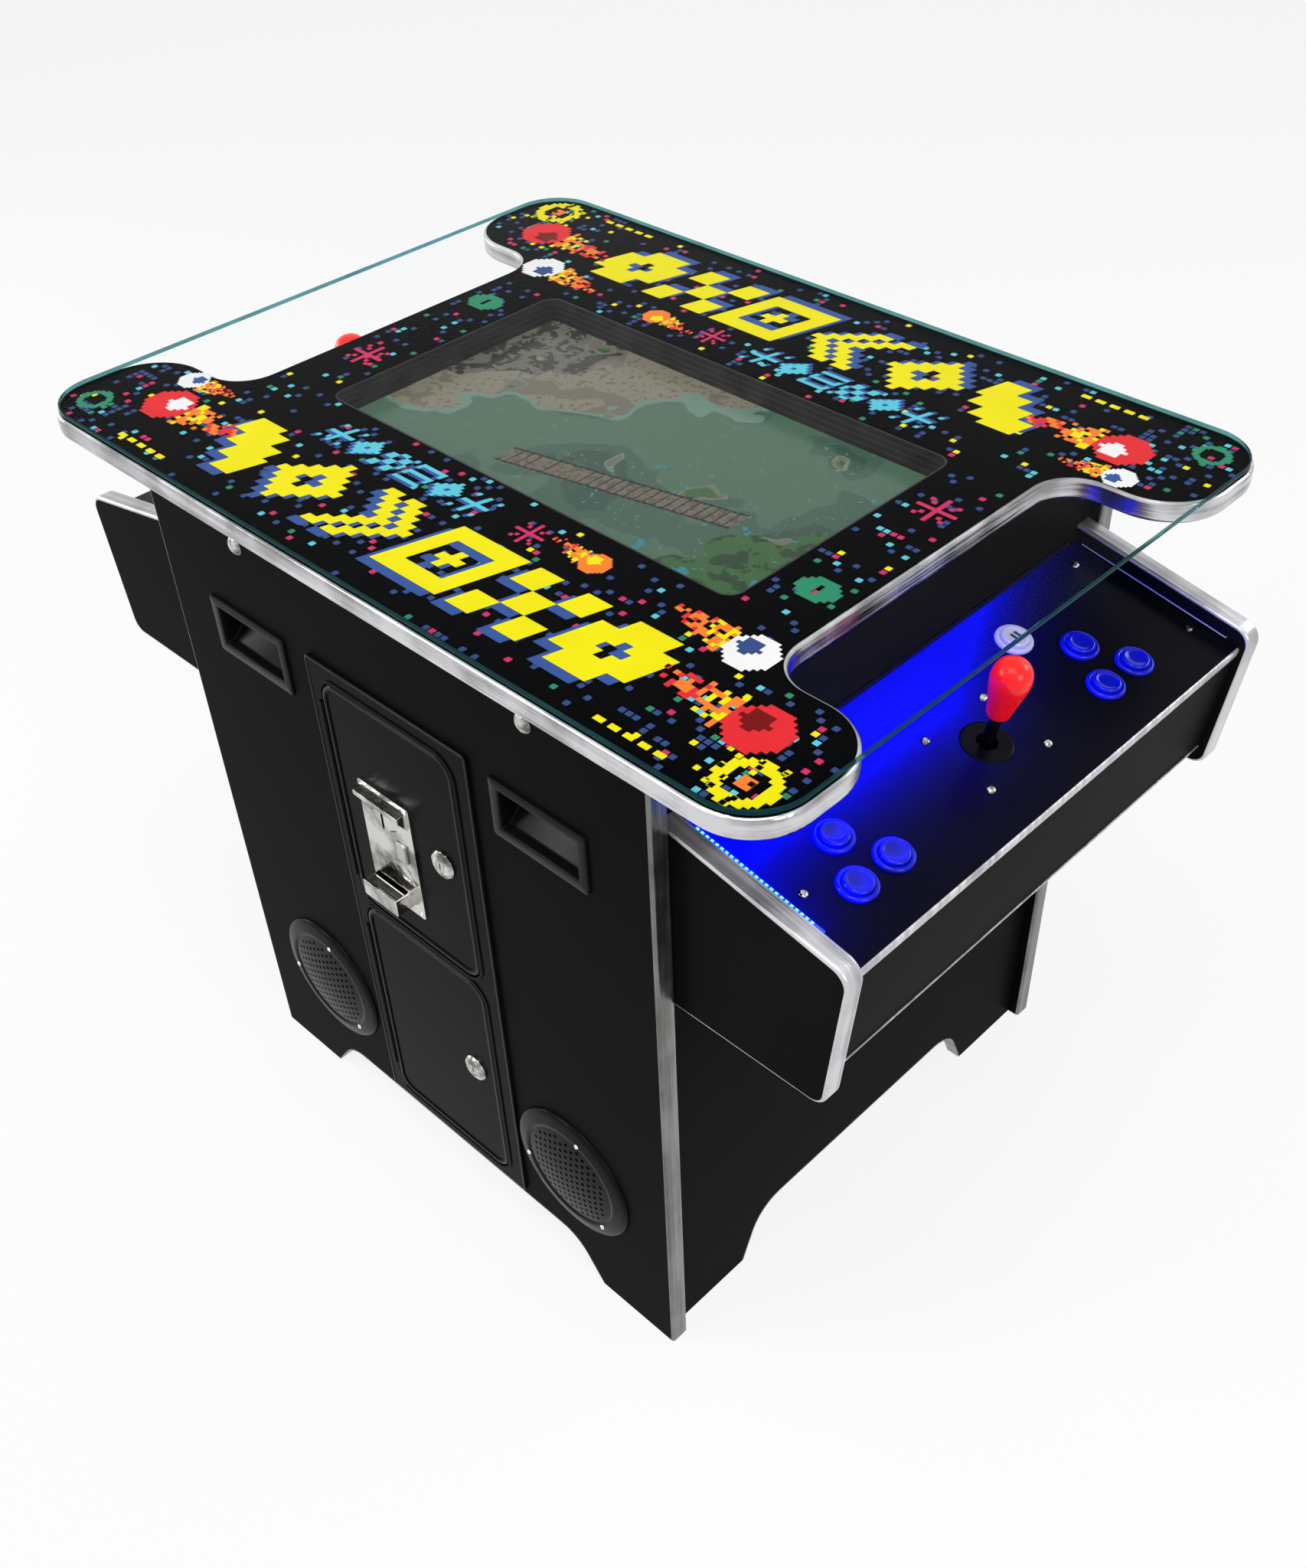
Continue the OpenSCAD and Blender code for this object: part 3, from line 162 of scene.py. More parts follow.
def noise(mat, place, scale, detail=3, roughness=0.55):
    return addNode(mat, "TexNoise", {"Vector": place, "Scale": scale, "Detail": detail,
                                     "Roughness": roughness}).outputs["Fac"]


def spread(mat, value, low, high, start=0.3, end=0.7):
    return addNode(mat, "MapRange", {"Value": value, "From Min": start, "From Max": end,
                                     "To Min": low, "To Max": high}).outputs["Result"]


def calc(mat, work, a, b=0.0, c=0.0):
    return addNode(mat, "Math", {0: a, 1: b, 2: c}, operation=work).outputs[0]


def blend(mat, share, a, b):
    return addNode(mat, "Mix", {0: share, 6: a, 7: b}, data_type="RGBA").outputs[2]


def bumpy(mat, height, depth, rounded=0.0):
    bump = addNode(mat, "Bump", {"Height": height, "Distance": depth, "Strength": 1.0})
    if rounded:       # softens hard edges a little, as a real moulding or fold does
        give(mat, bump, "Normal", addNode(mat, "Bevel", {"Radius": rounded}, samples=4).outputs[0])
    give(mat, shader(mat), "Normal", bump.outputs[0])


# Base colour between a darker shade and the colour itself, as the value goes from start to end
def mottled(mat, value, colour, shade, start=0.3, end=0.7):
    dark = tuple(v * shade for v in colour)
    give(mat, shader(mat), "Base Color", blend(mat, spread(mat, value, 0, 1, start, end), dark, colour))


def glossy(mat, value, rough, start=0.3, end=0.7):
    give(mat, shader(mat), "Roughness", spread(mat, value, *rough, start, end))


# A sum of two values, the first with this share
def mixed(mat, a, share, b):
    return calc(mat, "MULTIPLY_ADD", a, share, calc(mat, "MULTIPLY", b, 1 - share))


# A solid finish whose colour and gloss wander a little, with fine grain over it
def finish(name, colour, rough, shade, patch, grain, depth, rounded=0.0, sheen=0.5, stretch=(1, 1, 1), **more):
    mat = newMaterial(name, {"Specular IOR Level": sheen})
    broad = noise(mat, spot(mat), patch, 4)
    fine = noise(mat, spot(mat, stretch), grain, 3, 0.6)
    mottled(mat, broad, colour, shade)
    glossy(mat, mixed(mat, fine, 0.5, broad), rough, 0.35, 0.65)
    bumpy(mat, fine, depth, rounded)
    for socket, value in more.items():
        give(mat, shader(mat), socket.replace("_", " "), value)
    return mat


def glassFinish(name, tint, share):
    mat = newMaterial(name, {"Base Color": tint, "IOR": 1.045, "Transmission Weight": 1.0})
    clear = addNode(mat, "BsdfTransparent", {"Color": (share, share, share)})
    lit = addNode(mat, "MixShader", {0: addNode(mat, "LightPath").outputs["Is Shadow Ray"],
                                     1: shader(mat).outputs[0], 2: clear.outputs[0]})
    give(mat, mat.node_tree.nodes["Material Output"], "Surface", lit.outputs[0])
    glossy(mat, noise(mat, spot(mat), 9, 5), (0.0, 0.012), 0.5, 0.8)


# Chrome with a faintly rippled face, whose colour darkens in broad patches down to the shade: a painted darker
# reflection, strongest on the lock and coin-plate chrome
def chromeFinish(name, colour, rough, wave, ripples, shade, patch):
    mat = newMaterial(name, {"Metallic": 1.0})
    ripple = noise(mat, spot(mat), ripples, 2)
    dullnessAndPaintedReflection = noise(mat, spot(mat), patch, 5)
    # Painted darker reflection in patches; the same patches vary the gloss
    mottled(mat, dullnessAndPaintedReflection, colour, shade, 0.4, 0.6)
    glossy(mat, dullnessAndPaintedReflection, rough)
    bumpy(mat, ripple, wave, 0.0006)


def brushedFinish(name, colour, rough, along=(1, 1, 14), depth=0.00003):
    mat = newMaterial(name, {"Metallic": 1.0})
    stroke = noise(mat, spot(mat, along), 160, 4, 0.7)
    mottled(mat, noise(mat, spot(mat), 20, 3), colour, 0.85)
    glossy(mat, stroke, rough)
    bumpy(mat, stroke, depth, 0.0004)


# Bright edging: streaks along it, where across is the way over it, and a slightly wavy face. The darker streaks and
# clouds in its colour are partly painted reflection of a darker room
def trimFinish(name, colour, shade, across, metallic=1.0, rough=(0.16, 0.3)):
    mat = newMaterial(name, {"Metallic": metallic})
    clouds = noise(mat, spot(mat), 22, 3, 0.5)
    streaksAndPaintedReflection = noise(mat, spot(mat, across), 5, 3, 0.55)
    # Colour darker along the streaks and clouds: partly painted reflection
    mottled(mat, mixed(mat, clouds, 0.45, streaksAndPaintedReflection), colour, shade, 0.4, 0.58)
    glossy(mat, clouds, rough, 0.35, 0.65)
    bumpy(mat, streaksAndPaintedReflection, 0.0009, 0.001)


tape = {"dark": (0.002, 0.002, 0.012), "colour": (0.004, 0.004, 0.02), "line": (0.55, 0.58, 0.75),
        "lineHeight": 0.0044, "sideFrom": 0.24}


# Unlit lamp tape: dark, with a thin pale line where the side tapes meet the panel
def tapeFinish(name):
    mat = newMaterial(name, {"Roughness": 0.4, "Specular IOR Level": 0.1})
    work = partial(calc, mat)
    x, y, z = axesOf(mat, coordinate(mat))
    rise = work("ADD", work("MULTIPLY", work("ABSOLUTE", x), slopeUp.x), work("MULTIPLY", z, slopeUp.z))
    line = work("LESS_THAN", rise, panelLevel + tape["lineHeight"])
    side = work("GREATER_THAN", work("ABSOLUTE", y), tape["sideFrom"])
    grain = noise(mat, spot(mat), 300, 3)
    dark = blend(mat, spread(mat, grain, 0, 1), tape["dark"], tape["colour"])
    give(mat, shader(mat), "Base Color", blend(mat, work("MULTIPLY", line, side), dark, tape["line"]))
    bumpy(mat, grain, 0.00003)


# Painted light of the strips on the panels, given as a blue emission: full down to a line that moves outwards along the
# panel, then fading, and a smaller share beside the left-hand side board
paintedStripGlow = {"colour": (0.0, 0.0012, 0.95), "strength": 0.97, "full": -0.039, "reach": 0.0184, "fullTo": 0.005,
              "fade": 0.5, "side": -0.2515, "sideReach": 0.02, "sideShare": 0.10, "sideFades": (0.01, 0.08)}


# Dark panel with that strip light painted on it as a blue glow
def panelFinish(name, colour):
    mat = finish(name, colour, (0.2, 0.27), 0.8, 6, 1200, 0.000003, 0.0005, 0.025)
    work = partial(calc, mat)
    x, y, z = axesOf(mat, coordinate(mat))
    along = work("MULTIPLY", y, work("SIGN", x))
    way = panelFrame[1].col[0]
    start = Vector(way[:3]).dot(panelFrame[1].translation)
    down = work("ADD", work("MULTIPLY", work("ABSOLUTE", x), way[0]), work("MULTIPLY_ADD", z, way[2], -start))
    late = work("MULTIPLY", work("MAXIMUM", work("SUBTRACT", along, paintedStripGlow["fullTo"]), 0.0), paintedStripGlow["fade"])
    gone = work("DIVIDE", work("SUBTRACT", paintedStripGlow["full"], work("ADD", down, late)), paintedStripGlow["reach"])
    fromEnd = work("MINIMUM", work("EXPONENT", gone), 1.0)
    away = work("DIVIDE", work("SUBTRACT", paintedStripGlow["side"], along), paintedStripGlow["sideReach"])
    share = spread(mat, down, paintedStripGlow["sideShare"], 0.0, *paintedStripGlow["sideFades"])
    both = work("MINIMUM", work("ADD", fromEnd, work("MULTIPLY", work("EXPONENT", away), share)), 1.0)
    facing = axesOf(mat, coordinate(mat, "Normal"))[2]
    both = work("MULTIPLY", both, work("GREATER_THAN", facing, 0.5))       # the upper face alone is lit
    # The strips' light, painted on the panel as emission
    give(mat, shader(mat), "Emission Color", blend(mat, both, (0, 0, 0), paintedStripGlow["colour"]))
    give(mat, shader(mat), "Emission Strength", paintedStripGlow["strength"])


def timberFinish(name, pale, dark):
    mat = newMaterial(name, {"Specular IOR Level": 0.3})
    warp = noise(mat, spot(mat), 4, 3)
    rings = addNode(mat, "TexWave", {"Vector": spot(mat, (1, 9, 9)), "Scale": 3.0, "Distortion": 6.0,
                                     "Detail": 3.0, "Detail Scale": 1.5}, wave_type="BANDS").outputs["Fac"]
    pores = noise(mat, spot(mat, (12, 160, 160)), 6, 2)
    give(mat, shader(mat), "Base Color", blend(mat, mixed(mat, rings, 0.6, warp), pale, dark))
    glossy(mat, pores, (0.55, 0.75))
    bumpy(mat, pores, 0.00008)


coast = {
    "dot": 0.0015, "strength": 0.60, "shade": 0.8, "jetty": (-0.075, 0.150), "jettyHalf": 0.013, "deckHalf": 0.0105,
    "jettyLean": (-0.22, 0.062), "plankPitch": 0.009, "plank": 0.0075, "shoreWay": (-0.62, 0.75),
    "wander": 0.24, "water": (0.085, 0.160, 0.110), "deep": (0.062, 0.125, 0.090), "deepest": (0.045, 0.095, 0.072),
    "glint": (0.13, 0.23, 0.17), "shallows": (0.15, 0.26, 0.20), "sand": (0.235, 0.22, 0.165),
    "darkSand": (0.15, 0.135, 0.10), "dampSand": (0.17, 0.155, 0.12), "stone": (0.15, 0.145, 0.12),
    "darkStone": (0.045, 0.046, 0.04), "leaf": (0.05, 0.13, 0.045), "darkLeaf": (0.022, 0.060, 0.026),
    "reed": (0.04, 0.24, 0.30), "gap": (0.03, 0.028, 0.022), "wood": (0.17, 0.15, 0.115),
    "darkWood": (0.11, 0.10, 0.075), "kerb": (0.022, 0.024, 0.022),
}


# A coast seen from above, in square dots: water with shallows, a beach, small islands, a plank jetty and reeds
def screenFinish(name):
    mat = newMaterial(name, {"Roughness": 0.22, "Specular IOR Level": 0.15})
    work, c = partial(calc, mat), coast
    snapped = addNode(mat, "VectorMath", {0: coordinate(mat), 1: (c["dot"], c["dot"], 1)}, operation="SNAP").outputs[0]
    x, y = axesOf(mat, snapped)[:2]
    dotted = partial(noise, mat, snapped)

    def choose(test, limit, a, b):
        return blend(mat, spread(mat, test, 0, 1, limit, limit + 0.002), a, b)

    def between(value, least, most):
        return work("MULTIPLY", work("GREATER_THAN", value, least), work("LESS_THAN", value, most))

    wander = work("MULTIPLY_ADD", dotted(11, 2.5, 0.5), c["wander"], -c["wander"] / 2)
    shore = work("ADD", work("MULTIPLY_ADD", x, c["shoreWay"][0], work("MULTIPLY", y, c["shoreWay"][1])), wander)
    swell = dotted(7, 3, 0.5)
    speck = dotted(150, 2, 0.7)
    tuft = dotted(34, 3, 0.7)
    water = choose(swell, 0.53, c["water"], c["deep"])
    water = choose(swell, 0.60, water, c["deepest"])
    water = choose(speck, 0.66, water, c["glint"])
    sand = choose(speck, 0.58, c["sand"], c["darkSand"])
    sand = choose(dotted(16, 2.5, 0.5), 0.56, sand, c["dampSand"])
    stone = choose(dotted(60, 2, 0.8), 0.5, c["stone"], c["darkStone"])
    leaves = choose(tuft, 0.47, c["darkLeaf"], c["leaf"])
    picture = water
    for limit, part in ((0.062, c["shallows"]), (0.072, sand), (0.150, stone)):
        picture = choose(shore, limit, picture, part)
    islet = dotted(15, 2, 0.5)
    for limit, part in ((0.655, c["shallows"]), (0.665, sand), (0.70, leaves)):
        picture = choose(islet, limit, picture, part)
    inland = work("MULTIPLY", shore, -1.0)
    picture = choose(inland, 0.150, picture, leaves)
    picture = choose(work("ADD", tuft, work("MULTIPLY", inland, 0.6)), 0.72, picture, c["reed"])
    line = work("ADD", y, work("MULTIPLY_ADD", x, *c["jettyLean"]))
    onJetty = work("MULTIPLY", between(line, -c["jettyHalf"], c["jettyHalf"]), between(x, *c["jetty"]))
    plank = work("LESS_THAN", work("FLOORED_MODULO", x, c["plankPitch"]), c["plank"])
    planks = blend(mat, plank, c["gap"], choose(speck, 0.52, c["wood"], c["darkWood"]))
    jetty = blend(mat, between(line, -c["deckHalf"], c["deckHalf"]), c["kerb"], planks)
    picture = blend(mat, onJetty, picture, jetty)
    give(mat, shader(mat), "Base Color", blend(mat, c["shade"], picture, (0, 0, 0)))
    give(mat, shader(mat), "Emission Color", picture)
    give(mat, shader(mat), "Emission Strength", c["strength"])


# Name: colour, gloss, shade, patch, grain, its depth, edge rounding, sheen. The blacks have a low sheen, so
# that they stay black on a pale floor
coats = {
    "satinLaminate": ((0.0085, 0.0084, 0.0080), (0.32, 0.42), 0.7, 5, 1100, 0.00001, 0.0006, 0.006),
    "powderCoat": ((0.0068, 0.0068, 0.0066), (0.14, 0.24), 0.7, 8, 1500, 0.00003, 0.0009, 0.015),
    "washerBlack": ((0.0018, 0.0018, 0.0024), (0.2, 0.3), 0.8, 30, 1500, 0.00001, 0.0004, 0.06),
    "texturedPlastic": ((0.0060, 0.0060, 0.0064), (0.24, 0.36), 0.75, 12, 1900, 0.00006, 0.0006, 0.10),
    "blackBoard": ((0.008, 0.008, 0.008), (0.45, 0.6), 0.8, 9, 900, 0.00005, 0.0, 0.05),
    "handlePlastic": ((0.0062, 0.0062, 0.0064), (0.2, 0.32), 0.75, 12, 1900, 0.00003, 0.0, 0.07),
    "speakerPlastic": ((0.0062, 0.0062, 0.0068), (0.2, 0.3), 0.75, 12, 1500, 0.00002, 0.0, 0.06),
    "mouldedGrey": ((0.034, 0.035, 0.034), (0.28, 0.45), 0.35, 45, 700, 0.00006, 0.0006, 0.1, (1, 1, 8)),
    "printedBlack": ((0.0006, 0.0006, 0.0009), (0.3, 0.4), 0.7, 9, 900, 0.00001, 0.0, 0.003),
    "glossyCoat": ((0.0060, 0.0060, 0.0058), (0.08, 0.16), 0.7, 30, 900, 0.00002, 0.0004, 0.12),
    "printedMark": ((0.03, 0.03, 0.09), (0.4, 0.5), 0.8, 40, 900, 0.00001),
    "circuitBoard": ((0.012, 0.10, 0.035), (0.3, 0.45), 0.6, 60, 1500, 0.00004),
    "paperCone": ((0.006, 0.006, 0.006), (0.6, 0.8), 0.7, 30, 1200, 0.0001, 0.0, 0.05),
}
for name, values in coats.items():
    finish(name, *values)
inks = {
    "shadowInk": (0.034, 0.083, 0.29), "yellowInk": (0.80, 0.71, 0.004), "cyanInk": (0.10, 0.52, 0.65),
    "redInk": (0.70, 0.024, 0.030), "darkInk": (0.16, 0.004, 0.004), "whiteInk": (0.80, 0.80, 0.80),
    "orangeInk": (0.84, 0.20, 0.028), "greenInk": (0.024, 0.23, 0.125), "pinkInk": (0.56, 0.028, 0.12),
    "blueInk": (0.030, 0.065, 0.21),
}
for name, colour in inks.items():
    finish(name, colour, (0.35, 0.45), 0.94, 18, 1400, 0.000006, 0.0, 0.03)
# Name: colour, gloss, shade, patch, grain, its depth, edge rounding, sheen, light colour, light strength. The lamp
# chips are real lamps; the faint light of the buttons, the bat, the lamp carrier and the glass edge is painted glow
glowing = {
    "blueButton": ((0.003, 0.006, 0.40), (0.12, 0.2), 0.8, 40, 600, 0.000008, 0.0003, 0.22, (0.002, 0.006, 0.6), 0.22),
    "paleButton": ((0.46, 0.46, 0.66), (0.12, 0.2), 0.9, 40, 600, 0.000008, 0.0003, 0.5, (0.30, 0.30, 0.60), 0.25),
    "redBat": ((0.90, 0.008, 0.008), (0.22, 0.32), 0.9, 25, 500, 0.00001, 0.0, 0.3, (1.0, 0.004, 0.004), 0.22),
    "lampChip": ((0.2, 0.4, 0.9), (0.3, 0.4), 0.8, 60, 900, 0.00002, 0.0, 0.5, (0.03, 0.42, 1.0), 7.0),
    "lampCarrier": ((0.05, 0.08, 0.6), (0.3, 0.4), 0.8, 60, 900, 0.00002, 0.0, 0.5, (0.0, 0.03, 1.0), 0.9),
    "glassEdge": ((0.02, 0.17, 0.16), (0.06, 0.12), 0.4, 25, 500, 0.00001, 0.0, 0.5, (0.0, 0.04, 0.06), 0.3),
}
depths = {       # what lies under the surface of some of them
    "blueButton": {"Subsurface_Weight": 0.2, "Subsurface_Radius": (0.001, 0.001, 0.005), "Coat_Weight": 0.08},
    "paleButton": {"Subsurface_Weight": 0.3, "Subsurface_Radius": (0.003, 0.003, 0.006), "Coat_Weight": 0.3},
    "redBat": {"Subsurface_Weight": 0.15, "Subsurface_Radius": (0.005, 0.001, 0.001), "Coat_Weight": 0.1},
    "glassEdge": {"Transmission_Weight": 0.82, "IOR": 1.12},
}
for name, (*values, light, strength) in glowing.items():
    finish(name, *values, Emission_Color=light, Emission_Strength=strength, **depths.get(name, {}))
panelFinish("panelLaminate", (0.0032, 0.0032, 0.0064))
brushedFinish("zincSteel", (0.56, 0.57, 0.58), (0.25, 0.42), (1, 6, 6))
brushedFinish("satinNickel", (0.50, 0.49, 0.46), (0.2, 0.36))
brushedFinish("blackenedSteel", (0.05, 0.05, 0.052), (0.2, 0.35), (8, 8, 1))
chromeFinish("chromePlate", (0.82, 0.83, 0.84), (0.06, 0.16), 0.00012, 45, 0.8, 14)
chromeFinish("pressedChrome", (0.60, 0.59, 0.56), (0.06, 0.18), 0.0016, 42, 0.22, 28)
chromeFinish("lockChrome", (0.68, 0.67, 0.64), (0.07, 0.18), 0.0008, 120, 0.16, 75)
trimFinish("brightEdgeTrim", (0.66, 0.66, 0.68), 0.42, (1, 1, 30))
trimFinish("boxEdgeTrim", (0.66, 0.66, 0.69), 0.55, (1, 30, 1), 0.6, (0.25, 0.4))
trimFinish("satinEdgeTrim", (0.26, 0.26, 0.25), 0.5, (1, 30, 1), 0.9, (0.25, 0.4))
timberFinish("plywood", (0.52, 0.36, 0.20), (0.34, 0.20, 0.095))
screenFinish("screenPicture")
tapeFinish("lampTape")
glassFinish("clearGlass", (0.985, 0.995, 0.99), 0.96)
print("materials made")

# Finish of each node of the frame; the players' parts go by the ends of their names
nodeLooks = {
    "satinLaminate": "coin_side_panel far_side_panel end_panels control_box_sides control_box_boards",
    "powderCoat": "coin_door_frame upper_coin_door lower_cash_door",
    "texturedPlastic": "monitor_case handle_cups speaker_grilles power_inlet button_switches coin_acceptor",
    "lockChrome": "bolts_and_screws upper_lock_barrel lower_lock_barrel",
    "satinNickel": "coin_reject_button coin_return_flap upper_lock_cam lower_lock_cam",
    "zincSteel": "steel_brackets power_supply cash_box",
    "blackBoard": "tabletop_board", "printedBlack": "artwork_sheet", "brightEdgeTrim": "tabletop_trim",
    "mouldedGrey": "screen_bezel", "screenPicture": "lcd_panel", "plywood": "inner_timber",
    "satinEdgeTrim": "panel_trims", "boxEdgeTrim": "control_box_trims", "panelLaminate": "control_panels",
    "paperCone": "speaker_drivers", "circuitBoard": "game_board", "lampTape": "light_strips",
    "blueButton": "button_collars", "washerBlack": "joystick_bases", "pressedChrome": "coin_slot_plate",
    "clearGlass": "glass_top",
}
endLooks = {"start_button": "paleButton", "bat": "redBat", "shaft": "blackenedSteel"}


def lookOf(name):
    for look, names in nodeLooks.items():
        if name in names.split():
            return looks[look]
    for end, look in endLooks.items():
        if name.endswith(end):
            return looks[look]
    return looks["blueButton" if "button" in name else "zincSteel"]


for name, ob in nodes.items():
    for slot in ob.material_slots:
        slot.material = lookOf(name)


def seatOf(node, player):
    lo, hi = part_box(node)
    local = panelFrame[player].inverted() @ ((lo + hi) / 2)
    return panelFrame[player] @ moved(local.x, local.y)


# Small helpers for meshes

def newPiece(name, mesh, finishes, body, replaces=(), smooth=35):
    for look in finishes:
        mesh.materials.append(looks[look])
    mesh.shade_smooth()
    mesh.set_sharp_from_angle(angle=radians(smooth))
    for poly in mesh.polygons:
        if poly.loop_total > 8:  # a broad flat face beside a rounded edge keeps its own normal
            poly.use_smooth = False
    ob = newObject(name, mesh)
    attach(ob, body)
    if replaces:
        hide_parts(*replaces)


# A mesh whose faces keep the side they were made with
def plainMesh(bm, name):
    mesh = bpy.data.meshes.new(name)
    bm.to_mesh(mesh)
    bm.free()
    return mesh


def meshFrom(bm, name, place=None):
    if place is not None:
        bmesh.ops.transform(bm, matrix=place, verts=bm.verts)
    bmesh.ops.recalc_face_normals(bm, faces=bm.faces)
    return plainMesh(bm, name)


def roundedLoop(width, height, radius, steps=8, centre=(0, 0)):
    loop = []
    for k, (sx, sy) in enumerate(((1, 1), (-1, 1), (-1, -1), (1, -1))):
        for i in range(steps + 1):
            a = radians(90 * (k + i / steps))
            loop.append((centre[0] + sx * (width / 2 - radius) + radius * cos(a),
                         centre[1] + sy * (height / 2 - radius) + radius * sin(a)))
    return loop


def joinRings(bm, rings, ends):
    for below, above in zip(rings, rings[1:]):
        for i in range(len(below)):
            j = (i + 1) % len(below)
            bm.faces.new((below[i], below[j], above[j], above[i]))
    if ends == "capped":
        bm.faces.new(list(reversed(rings[0])))
        bm.faces.new(rings[-1])


# Joins rounded rectangles at (inset, height), capped, or closed on itself as a ring
def loftLevels(bm, width, height, radius, levels, steps=8, centre=(0, 0), ends="capped"):
    rings = []
    for inset, z in levels:
        loop = roundedLoop(width - 2 * inset, height - 2 * inset, max(radius - inset, 0.0004), steps, centre)
        rings.append([bm.verts.new((x, y, z)) for x, y in loop])
    if ends == "ring":
        rings.append(rings[0])
    joinRings(bm, rings, ends)


# Turns a profile of (radius, height) round Z; radius 0 at an end makes a pole
def turned(bm, profile, steps=48, closed=False):
    rings = []
    for r, z in profile:
        turns = [2 * pi * i / steps for i in range(steps if r > 1e-7 else 1)]
        rings.append([bm.verts.new((r * cos(a), r * sin(a), z)) for a in turns])
    pairs = list(zip(rings, rings[1:]))
    if closed:
        pairs.append((rings[-1], rings[0]))
    for a, b in pairs:
        for i in range(steps):
            j = (i + 1) % steps
            if len(a) == 1 and len(b) > 1:
                bm.faces.new((a[0], b[j], b[i]))
            elif len(b) == 1 and len(a) > 1:
                bm.faces.new((a[i], a[j], b[0]))
            elif len(a) > 1 and len(b) > 1:
                bm.faces.new((a[i], a[j], b[j], b[i]))


# Smooth line through points, with so many steps in each span
def throughPoints(points, steps=5):
    out = []
    for i in range(len(points) - 1):
        p0, p1, p2, p3 = (points[max(i - 1, 0)], points[i], points[i + 1], points[min(i + 2, len(points) - 1)])
        for k in range(steps):
            t = k / steps
            out.append(tuple(0.5 * (2 * b + (c - a) * t + (2 * a - 5 * b + 4 * c - d) * t * t
                                    + (3 * b - a - 3 * c + d) * t ** 3)
                             for a, b, c, d in zip(p0, p1, p2, p3)))
    return out + [points[-1]]


# Small helpers for Geometry Nodes trees. Each input is a kind of socket and its value

def newTree(name, inputs):
    tree = bpy.data.node_groups.new(name, "GeometryNodeTree")
    tree.interface.new_socket("Geometry", in_out="INPUT", socket_type="NodeSocketGeometry")
    for label, (kind, value) in inputs.items():
        socket = tree.interface.new_socket(label, in_out="INPUT", socket_type="NodeSocket" + kind)
        if value is not None:
            socket.default_value = value
    tree.interface.new_socket("Geometry", in_out="OUTPUT", socket_type="NodeSocketGeometry")
    start = tree.nodes.new("NodeGroupInput")
    return tree, start.outputs


# A node with its inputs set or linked; gives back the output asked for
def treeNode(tree, kind, inputs=None, out=0, **settings):
    node = tree.nodes.new(kind)
    for key, value in settings.items():
        setattr(node, key, value)
    for socket, value in (inputs or {}).items():
        if isinstance(value, bpy.types.NodeSocket):
            tree.links.new(value, node.inputs[socket])
        else:
            node.inputs[socket].default_value = value
    return node.outputs[out]


def treeMath(tree, work, a, b=0.0):
    return treeNode(tree, "ShaderNodeMath", {0: a, 1: b}, operation=work)


def treeVector(tree, x=0.0, y=0.0, z=0.0):
    return treeNode(tree, "ShaderNodeCombineXYZ", {0: x, 1: y, 2: z})


def treePlace(tree, axis):
    return treeNode(tree, "ShaderNodeSeparateXYZ", {0: treeNode(tree, "GeometryNodeInputPosition")}, axis)


def treeCopies(tree, points, shape, **more):
    return treeNode(tree, "GeometryNodeInstanceOnPoints", {"Points": points, "Instance": shape, **more})


def treeEnd(tree, geometry, finishSocket):
    real = treeNode(tree, "GeometryNodeRealizeInstances", {"Geometry": geometry})
    coat = treeNode(tree, "GeometryNodeSetMaterial", {"Geometry": real, "Material": finishSocket})
    tree.links.new(coat, tree.nodes.new("NodeGroupOutput").inputs[0])
    return tree


# Runs a tree on a mesh with its finish and named inputs set, and gives back a plain mesh
def runTree(tree, name, mesh, look, values, place=None):
    ob = newObject(name + "Maker", mesh)
    mod = ob.modifiers.new("maker", "NODES")
    mod.node_group = tree
    ids = {item.name: item.identifier for item in tree.interface.items_tree
           if item.item_type == "SOCKET" and item.in_out == "INPUT"}
    for label, value in {"Finish": looks[look], **values}.items():
        mod[ids[label]] = value
    ob.update_tag()
    bpy.context.view_layer.update()
    made = bpy.data.meshes.new_from_object(ob.evaluated_get(bpy.context.evaluated_depsgraph_get()))
    ob.modifiers.clear()
    bpy.data.objects.remove(ob)
    made.name = name
    made.materials.clear()
    if place is not None:
        made.transform(place)
    print(name, len(made.polygons), "faces")
    return made


# One shape set out on points that carry a turn and a size each
def makeSetOut():
    tree, given = newTree("setOut", {"Shape": ("Object", None), "Size": ("Float", 1.0), "Finish": ("Material", None)})
    turn = treeNode(tree, "GeometryNodeInputNamedAttribute", {"Name": "turn"}, data_type="FLOAT_VECTOR")
    shape = treeNode(tree, "GeometryNodeObjectInfo", {"Object": given["Shape"], "As Instance": True}, "Geometry")
    points = treeNode(tree, "GeometryNodeMeshToPoints", {"Mesh": given["Geometry"]})
    return treeEnd(tree, treeCopies(tree, points, shape, Rotation=turn, Scale=given["Size"]), given["Finish"])


setOut = makeSetOut()


def setOutCopies(name, shapeMesh, places, look, size=1.0):
    shape = newObject(name + "Shape", shapeMesh)
    points = bpy.data.meshes.new(name + "Points")
    points.from_pydata([p.translation for p in places], [], [])
    turn = points.attributes.new("turn", "FLOAT_VECTOR", "POINT")
    for i, p in enumerate(places):
        turn.data[i].vector = p.to_euler()
    made = runTree(setOut, name, points, look, {"Shape": shape, "Size": size})
    bpy.data.objects.remove(shape)
    return made


# Glass over the whole table, with a ground edge

glassTop = {"lift": 0.0003, "bevel": 0.0012, "corner": 0.048, "cornerSteps": 24}

